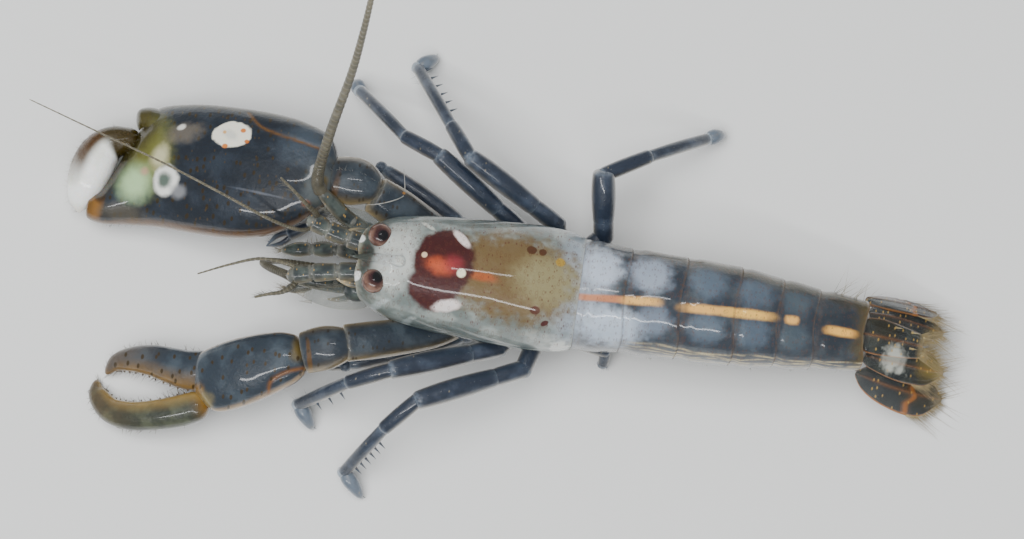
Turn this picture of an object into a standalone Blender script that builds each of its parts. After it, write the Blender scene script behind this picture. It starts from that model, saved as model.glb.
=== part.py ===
"""A snapping shrimp at life size, standing on its legs and claws with its tail fan let down behind it.

Sizes are in millimetres while the pieces are shaped, and become metres when a piece is finished.
A point is (x, y, z): x back from the tip of the snout, y to the animal's right, z above the floor.
The big snapping claw is on the right, and the small claw with gaping fingers is on the left.
"""

import math

import bmesh
import bpy
from mathutils import Matrix, Vector

# Driving sizes
MM = 0.001
SNOUT_TO_MIDDLE = 3.2       # from the snout back to the middle of the whole length
MIDLINE_TO_MIDDLE = 0.22    # from the body's midline to the middle of the whole width
GAP = 0.1                   # clearance between neighbouring pieces
BODY_SIDES = 24
LIMB_SIDES = 10
LEG_SIDES = 8
FEELER_SIDES = 6
FEELER_RADIUS = 0.22
PLATE_HALF_THICKNESS = 0.25

# The body, from the front of the head shield to the end of the abdomen
SHIELD_BACK = 5.62
ABDOMEN_JOINTS = (5.72, 6.78, 8.18, 9.55, 10.62, 11.55, 12.80)

# Rows of (x, half width, top, bottom of the belly)
BODY_ROWS = (
    (0.12, 0.86, 3.20, 1.72),
    (0.45, 1.06, 3.42, 1.48),
    (1.00, 1.27, 3.62, 1.28),
    (1.90, 1.41, 3.76, 1.12),
    (2.80, 1.47, 3.82, 1.04),
    (3.80, 1.53, 3.80, 1.02),
    (4.60, 1.55, 3.74, 1.06),
    (5.30, 1.49, 3.62, 1.18),
    (5.72, 1.38, 3.52, 1.34),
    (6.78, 1.29, 3.50, 1.40),
    (8.18, 1.26, 3.48, 1.38),
    (9.55, 1.22, 3.34, 1.34),
    (10.62, 1.10, 3.08, 1.30),
    (11.55, 1.00, 2.84, 1.28),
    (12.80, 0.86, 2.52, 1.42),
)

# How far each side flap of the abdomen hangs below the belly, and how long its lobe is
FLAP_DROPS = (0.22, 0.42, 0.36, 0.34, 0.30, 0.16)

EYE_CENTRE = (0.52, 0.60, 3.16)
EYE_RADIUS = 0.30
HOOD_RADII = (0.46, 0.40, 0.34)
HOOD_DROP = 0.06
SNOUT_ROOT, SNOUT_TIP = (0.75, 0.0, 3.36), (-0.10, 0.0, 3.16)
SNOUT_RADIUS = 0.22

# Walking legs: hip, end of the short first segments, knee, wrist, ankle and claw tip
LEG_RADII = (0.25, 0.28, 0.26, 0.25, 0.20)
LEGS = {
    "leg_3_right": (
        (4.10, 1.00, 1.30), (3.92, 1.48, 1.50), (1.74, 2.98, 2.30), (0.76, 3.42, 2.00),
        (-0.50, 4.70, 0.55), (-0.62, 4.92, -0.06),
    ),
    "leg_4_right": (
        (5.02, 1.00, 1.30), (4.86, 1.75, 1.65), (2.36, 3.16, 2.65), (1.79, 3.97, 2.10),
        (0.94, 5.47, 0.45), (1.36, 5.86, -0.06),
    ),
    "leg_5_right": (
        (5.45, 0.95, 1.30), (6.05, 1.60, 1.50), (5.85, 3.01, 2.30), (6.99, 3.80, 1.90),
        (8.35, 4.63, 0.55), (8.78, 4.86, -0.06),
    ),
    "leg_3_left": (
        (4.25, -0.95, 1.30), (3.85, -1.58, 1.48), (1.24, -2.52, 2.35), (0.28, -2.98, 1.95),
        (-0.94, -3.58, 0.50), (-0.46, -3.96, -0.06),
    ),
    "leg_4_left": (
        (4.84, -0.95, 1.30), (4.52, -2.00, 1.60), (1.98, -3.20, 2.30), (1.32, -3.98, 1.90),
        (0.43, -5.10, 0.45), (1.02, -5.50, -0.06),
    ),
}
# The last left leg is folded under the body
FOLDED_LEG = (
    (5.44, -0.80, 1.26), (5.64, -1.04, 0.90), (6.52, -1.16, 0.62), (6.50, -1.42, 0.30),
    (6.49, -1.45, -0.06),
)
FOLDED_LEG_RADII = (0.25, 0.27, 0.25, 0.22)

# The slender second pair: hip, end of the first segments, knee, wrist, small pincer
PINCER_LEG_RADII = (0.25, 0.27, 0.25, 0.25)
PINCER_LEGS = {
    "leg_2_right": (
        (3.30, 0.95, 1.16), (2.60, 1.62, 1.18), (0.22, 2.66, 1.30), (-1.25, 0.98, 0.66),
        (-2.32, 0.32, 0.22),
    ),
    "leg_2_left": (
        (3.55, -0.75, 1.14), (3.02, -1.36, 1.12), (0.12, -2.52, 1.14), (-1.25, -2.50, 0.62),
        (-2.30, -2.86, 0.22),
    ),
}

# Feelers: points along each one
FEELERS = {
    "antennule_right_flagellum_inner": (
        (-1.30, 0.50, 2.74), (-1.72, 0.54, 2.98), (-2.47, 0.78, 3.28), (-3.44, 1.14, 3.36),
        (-5.04, 1.70, 3.34), (-6.76, 2.25, 3.20), (-8.72, 2.91, 2.80),
    ),
    "antennule_right_flagellum_outer": (
        (-1.06, 0.90, 3.08), (-1.28, 1.00, 3.46), (-1.62, 1.22, 3.90), (-2.04, 1.50, 4.25),
    ),
    "antennule_left_flagellum_inner": (
        (-1.46, -0.36, 2.52), (-2.31, -0.33, 2.50), (-3.05, -0.55, 2.30), (-3.84, -0.86, 2.00),
    ),
    "antennule_left_flagellum_outer": (
        (-1.42, -0.92, 2.52), (-1.70, -1.08, 2.42), (-2.02, -1.16, 2.30), (-2.34, -1.26, 2.14),
    ),
    "antenna_right_flagellum": (
        (-1.20, 1.68, 3.26), (-1.20, 2.06, 3.84), (-1.04, 2.91, 4.95), (-0.76, 4.05, 6.35),
        (-0.60, 5.00, 7.30), (-0.50, 5.95, 8.15),
    ),
    "antenna_left_flagellum": (
        (-1.62, -0.52, 1.62), (-2.10, -0.36, 1.36), (-2.30, -0.18, 0.86), (-1.90, -0.04, 0.42),
        (-0.90, 0.00, 0.28), (1.20, 0.05, 0.27), (3.20, 0.00, 0.27), (4.80, -0.05, 0.27),
    ),
}

# The stems of the inner feelers, and the outer pair of mouth limbs
ANTENNULES = {
    "antennule_right": ((0.40, 0.34, 2.74), (-0.10, 0.42, 2.76), (-0.66, 0.56, 2.80), (-1.10, 0.72, 2.84)),
    "antennule_left": ((0.40, -0.32, 2.74), (-0.20, -0.38, 2.70), (-0.84, -0.48, 2.60), (-1.40, -0.60, 2.44)),
}
ANTENNULE_WIDTHS, ANTENNULE_HEIGHTS = (0.29, 0.28, 0.27), (0.27, 0.26, 0.25)
MOUTH_LIMBS = {
    "maxilliped_right": ((1.20, 0.34, 1.22), (0.10, 0.34, 1.26), (-0.90, 0.30, 1.18), (-1.90, 0.16, 0.98)),
    "maxilliped_left": ((1.20, -0.34, 1.22), (0.10, -0.38, 1.24), (-0.80, -0.52, 1.14), (-1.66, -0.80, 0.96)),
}
MOUTH_LIMB_RADII = (0.26, 0.26, 0.25)

# The base of each outer feeler, by side: a round block, a flat scale and a stalk
BLOCK_CENTRE, BLOCK_RADII = (0.15, 0.72, 2.14), (0.34, 0.30, 0.30)
SCALES = {
    1: ((0.55, 0.86, 2.30), (-0.20, 1.02, 2.40), (-0.95, 1.20, 2.60)),
    -1: ((0.55, -0.86, 2.20), (-0.40, -0.98, 2.04), (-1.34, -0.96, 1.82)),
}
SCALE_WIDTHS, SCALE_HEIGHTS = (0.26, 0.32, 0.30, 0.16), (0.25, 0.25, 0.25, 0.16)
STALKS = {
    1: ((0.45, 0.62, 2.16), (-0.34, 1.00, 2.34), (-1.10, 1.52, 3.02)),
    -1: ((0.45, -0.60, 2.10), (-0.50, -0.62, 1.84), (-1.50, -0.58, 1.68)),
}
STALK_RADII = (0.27, 0.26, 0.25)

# The swimming legs: how far along its ring and out from the midline each starts, and its shape
PADDLE_PLACE, PADDLE_OUT, PADDLE_ROOT_RISE = 0.42, 0.42, 0.2
PADDLE_REACH, PADDLE_SPREAD, PADDLE_TIP_HEIGHT = 0.42, 1.05, 0.56
PADDLE_WIDTHS, PADDLE_HEIGHTS = (0.25, 0.27, 0.18), (0.25, 0.25, 0.2)

# The arms that carry the claws, and their short wrists
RIGHT_ARM = ((2.95, 0.60, 1.24), (2.05, 1.30, 1.56), (1.20, 1.58, 2.04), (0.36, 1.84, 2.42))
RIGHT_ARM_WIDTHS, RIGHT_ARM_HEIGHTS = (0.28, 0.36, 0.46, 0.50, 0.32), (0.26, 0.32, 0.40, 0.42, 0.30)
RIGHT_WRIST = ((0.26, 1.82, 2.44), (-0.22, 1.92, 2.44), (-0.70, 1.90, 2.42))
RIGHT_WRIST_WIDTHS, RIGHT_WRIST_HEIGHTS = (0.26, 0.46, 0.58, 0.52), (0.26, 0.42, 0.50, 0.42)
LEFT_ARM = ((3.40, -0.60, 1.24), (2.40, -1.28, 1.58), (1.20, -1.68, 1.98), (0.12, -1.99, 2.20))
LEFT_ARM_WIDTHS, LEFT_ARM_HEIGHTS = (0.26, 0.30, 0.36, 0.38, 0.30), (0.25, 0.28, 0.34, 0.34, 0.28)
LEFT_WRIST = ((0.02, -2.03, 2.20), (-0.38, -2.18, 2.14), (-0.80, -2.36, 2.04))
LEFT_WRIST_WIDTHS, LEFT_WRIST_HEIGHTS = (0.24, 0.42, 0.52, 0.46), (0.24, 0.38, 0.44, 0.38)

# The big claw: rows of (x, upper edge, lower edge, middle height, half thickness)
PALM_RIGHT_ROWS = (
    (-0.84, 2.34, 1.46, 2.42, 0.34),
    (-1.20, 3.00, 1.14, 2.34, 0.56),
    (-1.75, 3.28, 0.66, 2.18, 0.72),
    (-2.40, 3.40, 0.38, 2.00, 0.82),
    (-3.20, 3.47, 0.30, 1.74, 0.88),
    (-4.20, 3.50, 0.36, 1.36, 0.88),
    (-5.00, 3.47, 0.42, 1.04, 0.86),
    (-5.46, 3.36, 0.42, 0.84, 0.88),
    (-5.76, 3.10, 0.41, 0.78, 0.83),
    (-5.86, 2.52, 0.40, 0.76, 0.70),
    (-6.10, 2.20, 0.36, 0.74, 0.62),
    (-6.34, 1.62, 0.33, 0.72, 0.52),
    (-6.56, 1.12, 0.36, 0.70, 0.42),
    (-6.80, 0.82, 0.44, 0.68, 0.30),
)
FINGER_RIGHT = (
    (-6.02, 2.62, 0.86), (-6.36, 2.46, 0.86), (-6.76, 2.14, 0.84), (-6.94, 1.66, 0.80),
    (-6.98, 1.16, 0.74), (-7.06, 0.66, 0.66),
)
FINGER_RIGHT_WIDTHS = (0.20, 0.30, 0.42, 0.44, 0.36, 0.16)
FINGER_RIGHT_THICKNESSES = (0.34, 0.42, 0.46, 0.44, 0.36, 0.18)

# The small claw: palm start and direction, then rows of (distance along, half width, half thickness)
PALM_LEFT_START, PALM_LEFT_END = (-0.90, -2.42, 2.02), (-3.46, -3.40, 1.16)
PALM_LEFT_ROWS = (
    (0.00, 0.36, 0.30),
    (0.28, 0.62, 0.46),
    (0.80, 0.71, 0.53),
    (1.50, 0.81, 0.56),
    (2.20, 0.82, 0.52),
    (2.62, 0.72, 0.44),
    (2.86, 0.50, 0.32),
)
FIXED_FINGER_LEFT = (
    (-3.10, -2.96, 1.24), (-3.70, -3.06, 1.06), (-4.20, -3.00, 0.92), (-4.70, -2.93, 0.76),
    (-5.20, -2.96, 0.58), (-5.60, -3.16, 0.40), (-5.80, -3.42, 0.26),
)
FIXED_FINGER_LEFT_WIDTHS = (0.50, 0.50, 0.46, 0.38, 0.29, 0.20, 0.09)
FINGER_LEFT = (
    (-3.44, -3.92, 1.10), (-3.86, -4.10, 0.98), (-4.45, -4.27, 0.82), (-5.05, -4.36, 0.62),
    (-5.56, -4.26, 0.40), (-5.92, -3.94, 0.18), (-6.02, -3.66, 0.04),
)
FINGER_LEFT_WIDTHS = (0.28, 0.32, 0.33, 0.34, 0.30, 0.20, 0.09)

TAIL_PLATES = {
    # name: (root, tip, half widths along it, roll in degrees about its length)
    "telson": (
        (12.92, 0.00, 2.16), (14.34, 0.00, 1.50),
        (0.34, 0.44, 0.42, 0.36, 0.30), 0,
    ),
    "uropod_inner_left": (
        (12.92, -0.52, 1.62), (15.00, -0.54, 0.66),
        (0.22, 0.34, 0.42, 0.44, 0.38, 0.12), 12,
    ),
    "uropod_outer_left": (
        (12.88, -0.98, 1.22), (15.08, -1.16, 0.16),
        (0.20, 0.40, 0.52, 0.56, 0.46, 0.14), 6,
    ),
    "uropod_inner_right": (
        (12.92, 0.52, 1.62), (14.86, 0.42, 0.78),
        (0.22, 0.32, 0.38, 0.40, 0.34, 0.12), -24,
    ),
    "uropod_outer_right": (
        (12.88, 0.92, 1.34), (14.66, 0.88, 0.62),
        (0.20, 0.34, 0.42, 0.44, 0.36, 0.12), -66,
    ),
}

COLOURS = {
    # name: (red, green, blue, roughness)
    "shield": (0.52, 0.54, 0.52, 0.30),
    "abdomen": (0.36, 0.40, 0.43, 0.30),
    "claw": (0.12, 0.15, 0.18, 0.28),
    "finger": (0.66, 0.62, 0.50, 0.30),
    "leg": (0.20, 0.23, 0.28, 0.28),
    "eye": (0.16, 0.06, 0.05, 0.18),
    "tail": (0.34, 0.31, 0.22, 0.32),
    "feeler": (0.30, 0.28, 0.22, 0.40),
}
MATERIALS = {}
ACROSS, UPRIGHT = Vector((0, 1, 0)), Vector((0, 0, 1))


def clear_scene():
    for old in list(bpy.data.objects):
        bpy.data.objects.remove(old, do_unlink=True)


def make_materials():
    for name, (red, green, blue, roughness) in COLOURS.items():
        made = bpy.data.materials.new(name)
        made.use_nodes = True
        shader = made.node_tree.nodes["Principled BSDF"]
        shader.inputs["Base Color"].default_value = (red, green, blue, 1.0)
        shader.inputs["Roughness"].default_value = roughness
        shader.inputs["Metallic"].default_value = 0.0
        MATERIALS[name] = made


def oval(centre, side, up, half_width, half_height, count, fullness=2.2):
    """A ring of points on a superellipse; a fullness of 2 is an ellipse, and more is squarer."""
    power = 2.0 / fullness
    ring = []
    for step in range(count):
        angle = math.tau * step / count
        across, along = math.cos(angle), math.sin(angle)
        ring.append(
            Vector(centre)
            + side * (half_width * math.copysign(abs(across) ** power, across))
            + up * (half_height * math.copysign(abs(along) ** power, along))
        )
    return ring


def loft(rings):
    """A closed mesh object through rings of equal length, its two ends fanned to their middles."""
    mesh = bmesh.new()
    loops = [[mesh.verts.new(point) for point in ring] for ring in rings]
    count = len(rings[0])
    for near, far in zip(loops, loops[1:]):
        for step in range(count):
            nxt = (step + 1) % count
            mesh.faces.new((near[step], near[nxt], far[nxt], far[step]))
    for loop in (loops[0], loops[-1]):
        middle = mesh.verts.new(sum((v.co for v in loop), Vector()) / count)
        for step in range(count):
            mesh.faces.new((loop[step], loop[(step + 1) % count], middle))
    bmesh.ops.recalc_face_normals(mesh, faces=mesh.faces)
    return linked(mesh, "piece")


def linked(mesh, name):
    data = bpy.data.meshes.new(name)
    bmesh.ops.triangulate(mesh, faces=mesh.faces)
    mesh.to_mesh(data)
    mesh.free()
    made = bpy.data.objects.new(name, data)
    bpy.context.scene.collection.objects.link(made)
    return made


def ball(centre, radii, sides=16, rows=10):
    """A closed ellipsoid."""
    mesh = bmesh.new()
    bmesh.ops.create_uvsphere(mesh, u_segments=sides, v_segments=rows, radius=1.0)
    place = Matrix.Translation(centre) @ Matrix.Diagonal((*radii, 1.0))
    bmesh.ops.transform(mesh, matrix=place, verts=mesh.verts)
    return linked(mesh, "ball")


def boolean_result(piece, group, operation, solver):
    """The mesh that one Boolean with a collection of closed objects would leave."""
    step = piece.modifiers.new(operation, "BOOLEAN")
    step.operation = operation
    step.solver = solver
    step.operand_type = "COLLECTION"
    step.collection = group
    graph = bpy.context.evaluated_depsgraph_get()
    shaped = bpy.data.meshes.new_from_object(piece.evaluated_get(graph))
    piece.modifiers.clear()
    return shaped


def keep_largest(piece):
    """Drops every closed surface of the piece but the largest one."""
    mesh = bmesh.new()
    mesh.from_mesh(piece.data)
    bmesh.ops.remove_doubles(mesh, verts=mesh.verts, dist=0.0005)
    bmesh.ops.dissolve_degenerate(mesh, edges=mesh.edges, dist=0.0005)
    left, islands = set(mesh.faces), []
    while left:
        island, edge = set(), {left.pop()}
        while edge:
            face = edge.pop()
            island.add(face)
            near = {f for e in face.edges for f in e.link_faces}
            edge |= (near & left)
            left -= near
        islands.append(island)
    islands.sort(key=lambda faces: sum(f.calc_area() for f in faces))
    spare = [face for island in islands[:-1] for face in island]
    if spare:
        bmesh.ops.delete(mesh, geom=spare, context="FACES")
    loose = [v for v in mesh.verts if not v.link_faces]
    bmesh.ops.delete(mesh, geom=loose, context="VERTS")
    mesh.to_mesh(piece.data)
    mesh.free()


def combine(piece, others, operation):
    """Joins closed objects to the piece, or cuts them from it, with one Boolean, and removes them."""
    group = bpy.data.collections.new("operands")
    bpy.context.scene.collection.children.link(group)
    for other in others:
        bpy.context.scene.collection.objects.unlink(other)
        group.objects.link(other)
    shaped = boolean_result(piece, group, operation, "EXACT")
    if not shaped.polygons:
        # The exact solver loses a limb that crosses a finely creased neighbour, and the other keeps it
        shaped = boolean_result(piece, group, operation, "MANIFOLD")
    old = piece.data
    piece.data = shaped
    bpy.data.meshes.remove(old)
    for other in others:
        bpy.data.objects.remove(other, do_unlink=True)
    bpy.data.collections.remove(group)
    keep_largest(piece)
    return piece


def fused(pieces):
    return combine(pieces[0], pieces[1:], "UNION")


def grown_copy(piece, clearance=GAP):
    """A copy of the piece with its surface moved out by the clearance."""
    mesh = bmesh.new()
    mesh.from_mesh(piece.data)
    mesh.normal_update()
    moves = [v.normal * clearance * min(v.calc_shell_factor(), 1.6) for v in mesh.verts]
    for vertex, move in zip(mesh.verts, moves):
        vertex.co += move
    return linked(mesh, "grown")


def cut_clear(piece, *neighbours, clearance=GAP):
    """Cuts the piece back to the clearance from each neighbour, so that the two meet face to face."""
    for neighbour in neighbours:
        combine(piece, [grown_copy(neighbour, clearance)], "DIFFERENCE")
    return piece


def stood_on_floor(piece):
    """Slices off whatever reaches below the floor, which leaves a small flat to stand on."""
    mesh = bmesh.new()
    mesh.from_mesh(piece.data)
    cut = bmesh.ops.bisect_plane(
        mesh, geom=mesh.verts[:] + mesh.edges[:] + mesh.faces[:], dist=0.0001,
        plane_co=(0.0, 0.0, 0.0), plane_no=(0.0, 0.0, -1.0), clear_outer=True,
    )
    rim = [item for item in cut["geom_cut"] if isinstance(item, bmesh.types.BMEdge)]
    bmesh.ops.triangle_fill(mesh, edges=rim, use_beauty=True)
    bmesh.ops.recalc_face_normals(mesh, faces=mesh.faces)
    mesh.to_mesh(piece.data)
    mesh.free()
    return piece


def finished(piece, name, colour):
    """Names the piece, gives it its material and stores it in metres about the middle of the floor."""
    piece.name = piece.data.name = name
    centred = Matrix.Translation((-SNOUT_TO_MIDDLE, -MIDLINE_TO_MIDDLE, 0.0))
    piece.data.transform(Matrix.Scale(MM, 4) @ centred)
    piece.data.materials.clear()
    piece.data.materials.append(MATERIALS[colour])
    piece.data.shade_smooth()
    piece.data.set_sharp_from_angle(angle=math.radians(50))
    return piece


def row_at(rows, x):
    """The values of a table of rows at x, in straight lines between its rows."""
    rows = sorted(rows)
    x = min(max(x, rows[0][0]), rows[-1][0])
    for low, high in zip(rows, rows[1:]):
        if x <= high[0]:
            share = (x - low[0]) / (high[0] - low[0])
            return [a + share * (b - a) for a, b in zip(low[1:], high[1:])]
    return list(rows[-1][1:])


def head_shield():
    """The shield over the head and thorax, with the snout between two hoods and sockets for the eyes."""
    stations = [row[0] for row in BODY_ROWS if row[0] < SHIELD_BACK]
    rings = []
    for x in [*stations, 2.35, 3.3, 4.2, SHIELD_BACK]:
        half_width, top, bottom = row_at(BODY_ROWS, x)
        middle = (x, 0.0, (top + bottom) / 2)
        ring = oval(middle, ACROSS, UPRIGHT, half_width, (top - bottom) / 2, BODY_SIDES, 2.3)
        rings.append((x, ring))
    shield = loft([ring for _, ring in sorted(rings, key=lambda item: item[0])])
    x, y, z = EYE_CENTRE
    hoods = [ball((x, side * y, z - HOOD_DROP), HOOD_RADII) for side in (1, -1)]
    return fused([shield, *hoods, tapered(SNOUT_ROOT, SNOUT_TIP, SNOUT_RADIUS, 0.04)])


def tapered(root, tip, root_radius, tip_radius, flatness=0.6):
    """A short spike with an oval section, flatter than it is wide."""
    rings = []
    for share in (0.0, 0.35, 0.7, 1.0):
        radius = root_radius + (tip_radius - root_radius) * share
        middle = Vector(root).lerp(Vector(tip), share)
        rings.append(oval(middle, ACROSS, UPRIGHT, radius, radius * flatness, 12, 2.0))
    return loft(rings)


def abdomen_ring(x, swell, drop):
    """An arch over the back whose two side flaps hang below a flat belly."""
    half_width, top, belly = row_at(BODY_ROWS, x)
    half_width *= swell
    top = belly + (top - belly) * swell
    waist = belly + 0.36 * (top - belly)
    ring = []
    arch = 11
    for step in range(arch):
        angle = math.pi * step / (arch - 1)
        across, up = math.cos(angle), math.sin(angle)
        ring.append(Vector((
            x,
            half_width * math.copysign(abs(across) ** 0.85, across),
            waist + (top - waist) * up ** 0.85,
        )))
    flap = belly - drop
    for share in (0.45, 1.0):
        ring.append(Vector((x, -half_width * (1.0 - 0.10 * share), waist + (flap - waist) * share)))
    inner = half_width * 0.58
    for y in (-inner, -inner / 2, 0.0, inner / 2, inner):
        ring.append(Vector((x, y, belly)))
    for share in (1.0, 0.45):
        ring.append(Vector((x, half_width * (1.0 - 0.10 * share), waist + (flap - waist) * share)))
    return ring


def abdomen_segment(front, back, drop):
    """One ring of the abdomen. Its hind edge stands a little proud, and its flaps are rounded lobes."""
    rings = []
    for share in (0.0, 0.15, 0.4, 0.65, 0.87, 1.0):
        x = front + share * (back - front)
        lobe = math.sin(math.pi * (0.06 + 0.88 * share)) ** 0.6
        rings.append(abdomen_ring(x, 0.95 + 0.06 * share, drop * lobe))
    return loft(rings)


def limb(joints, widths, heights=None, sides=LIMB_SIDES, up=(0, 0, 1), tip=0.35):
    """A jointed limb as one body: each segment swells in its middle and is pinched at its ends."""
    heights = heights or widths
    points = [Vector(joint) for joint in joints]
    ways = [(b - a).normalized() for a, b in zip(points, points[1:])]
    rings = []
    last = len(ways) - 1
    for number, way in enumerate(ways):
        before = ways[number - 1] if number else way
        for share, swell in ((0.0, 0.84), (0.14, 0.98), (0.5, 1.04), (0.86, 0.94)):
            facing = (before + way).normalized() if share == 0.0 else way
            scale = swell
            if number == last:
                scale *= 1.0 - (1.0 - tip) * share
            side = facing.cross(Vector(up)).normalized()
            centre = points[number].lerp(points[number + 1], share)
            width, height = widths[number] * scale, heights[number] * scale
            if share == 0.0 and number:
                width = 0.84 * (widths[number - 1] + widths[number]) / 2
                height = 0.84 * (heights[number - 1] + heights[number]) / 2
            rings.append(oval(centre, side, side.cross(facing), width, height, sides, 2.2))
    side = ways[-1].cross(Vector(up)).normalized()
    width, height = widths[-1] * tip, heights[-1] * tip
    rings.append(oval(points[-1], side, side.cross(ways[-1]), width, height, sides, 2.2))
    return loft(rings)


def curve_through(points, steps):
    """Points evenly shared along a smooth curve through the given ones (a Catmull-Rom spline)."""
    knots = [Vector(p) for p in points]
    knots = [2 * knots[0] - knots[1], *knots, 2 * knots[-1] - knots[-2]]
    spans = len(knots) - 3
    found = []
    for step in range(steps + 1):
        place = min(step * spans / steps, spans - 1e-6)
        index, t = int(place), place - int(place)
        a, b, c, d = knots[index:index + 4]
        square = (2 * a - 5 * b + 4 * c - d) * t * t
        cube = (3 * b - a - 3 * c + d) * t ** 3
        found.append(0.5 * (2 * b + (c - a) * t + square + cube))
    return found


def bent(points, widths, heights, sides=LIMB_SIDES, up=(0, 0, 1), steps=None, fullness=2.2):
    """A smooth curved body, with half widths and half heights given evenly along it."""
    steps = steps or 2 * (len(points) - 1)
    path = curve_through(points, steps)
    rings = []
    for number, centre in enumerate(path):
        ahead = path[min(number + 1, steps)] - path[max(number - 1, 0)]
        side = ahead.normalized().cross(Vector(up)).normalized()
        share = number / steps * (len(widths) - 1)
        low = min(int(share), len(widths) - 2)
        width = widths[low] + (share - low) * (widths[low + 1] - widths[low])
        height = heights[low] + (share - low) * (heights[low + 1] - heights[low])
        rings.append(oval(centre, side, side.cross(ahead.normalized()), width, height, sides, fullness))
    return loft(rings)


def feeler(points):
    """A whip that keeps its thickness most of the way and then runs out to a fine tip."""
    radii = [FEELER_RADIUS, FEELER_RADIUS, FEELER_RADIUS, FEELER_RADIUS * 0.9, FEELER_RADIUS * 0.3]
    up = (0.3, 1.0, 0.2) if abs(points[-1][2] - points[0][2]) < 3 else (1.0, 0.2, 0.1)
    return bent(points, radii, radii, FEELER_SIDES, up, steps=12, fullness=2.0)


def tail_plate(root, tip, widths, roll):
    """A blade of the tail fan with rounded edges, rolled about its own length."""
    root, tip = Vector(root), Vector(tip)
    way = (tip - root).normalized()
    turn = Matrix.Rotation(math.radians(roll), 3, way)
    side = turn @ way.cross(Vector((0, 0, 1))).normalized()
    steps = 2 * (len(widths) - 1)
    rings = []
    for number in range(steps + 1):
        share = number / steps
        place = share * (len(widths) - 1)
        low = min(int(place), len(widths) - 2)
        width = widths[low] + (place - low) * (widths[low + 1] - widths[low])
        thickness = PLATE_HALF_THICKNESS * (1.0 - 0.2 * share)
        rings.append(oval(root.lerp(tip, share), side, side.cross(way), width, thickness, 14, 3.0))
    return loft(rings)


def big_palm():
    """The swollen palm of the snapping claw, with its short fixed finger, notched where the other swings."""
    rings = []
    for x, upper, lower, height, thickness in PALM_RIGHT_ROWS:
        centre = (x, (upper + lower) / 2, height)
        rings.append(oval(centre, ACROSS, UPRIGHT, (upper - lower) / 2, thickness, 24, 2.3))
    return stood_on_floor(loft(rings))


def small_palm():
    """The palm of the small claw with its fixed finger."""
    start, end = Vector(PALM_LEFT_START), Vector(PALM_LEFT_END)
    way = (end - start).normalized()
    side = way.cross(Vector((0, 0, 1))).normalized()
    rings = [
        oval(start + way * along, side, side.cross(way), width, thickness, 18, 2.3)
        for along, width, thickness in PALM_LEFT_ROWS
    ]
    thick = [width * 0.80 for width in FIXED_FINGER_LEFT_WIDTHS]
    finger = bent(FIXED_FINGER_LEFT, FIXED_FINGER_LEFT_WIDTHS, thick, 14)
    return fused([loft(rings), finger])


def antenna_base(side):
    """The base of one antenna: a broad scale outside, and the stalk that carries the feeler."""
    scale = bent(SCALES[side], SCALE_WIDTHS, SCALE_HEIGHTS, LIMB_SIDES, steps=6, fullness=2.6)
    stalk = bent(STALKS[side], STALK_RADII, STALK_RADII, LIMB_SIDES, steps=5)
    x, y, z = BLOCK_CENTRE
    base = ball((x, side * y, z), BLOCK_RADII, sides=12, rows=8)
    return fused([base, scale, stalk])


def build_body():
    """Head shield, eyes and the six rings of the abdomen."""
    shield = head_shield()
    eyes = {}
    for name, side in (("eye_right", 1), ("eye_left", -1)):
        centre = (EYE_CENTRE[0], side * EYE_CENTRE[1], EYE_CENTRE[2])
        eyes[name] = ball(centre, (EYE_RADIUS,) * 3, sides=14, rows=9)
        cut_clear(shield, eyes[name])
    rings = []
    for number, drop in enumerate(FLAP_DROPS):
        front, back = ABDOMEN_JOINTS[number], ABDOMEN_JOINTS[number + 1]
        rings.append(abdomen_segment(front, back - GAP, drop))
    return shield, eyes, rings


def build_tail(last_ring):
    """The telson over two pairs of uropods; each lower blade is cut clear of the ones above it."""
    plates = {}
    for name, (root, tip, widths, roll) in TAIL_PLATES.items():
        plate = tail_plate(root, tip, widths, roll)
        cut_clear(plate, last_ring, *plates.values())
        plates[name] = stood_on_floor(plate) if name == "uropod_outer_left" else plate
    return plates


def build_claws(shield):
    """Both chelipeds, each in four pieces from the hip to the moving finger."""
    right = {
        "cheliped_right_arm": bent(RIGHT_ARM, RIGHT_ARM_WIDTHS, RIGHT_ARM_HEIGHTS, 12, steps=9),
        "cheliped_right_wrist": bent(RIGHT_WRIST, RIGHT_WRIST_WIDTHS, RIGHT_WRIST_HEIGHTS, 14, steps=6),
        "cheliped_right_palm": big_palm(),
        "cheliped_right_finger": bent(
            FINGER_RIGHT, FINGER_RIGHT_WIDTHS, FINGER_RIGHT_THICKNESSES, 14, steps=10
        ),
    }
    thick = [width * 0.85 for width in FINGER_LEFT_WIDTHS]
    left = {
        "cheliped_left_arm": bent(LEFT_ARM, LEFT_ARM_WIDTHS, LEFT_ARM_HEIGHTS, 12, steps=9),
        "cheliped_left_wrist": bent(LEFT_WRIST, LEFT_WRIST_WIDTHS, LEFT_WRIST_HEIGHTS, 14, steps=6),
        "cheliped_left_palm": small_palm(),
        "cheliped_left_finger": bent(FINGER_LEFT, FINGER_LEFT_WIDTHS, thick, 14, steps=12),
    }
    for arm in (right, left):
        parts = list(arm.values())
        for inner, outer in zip([shield, *parts], parts):
            cut_clear(outer, inner)
    stood_on_floor(left["cheliped_left_finger"])
    return right, left


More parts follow.
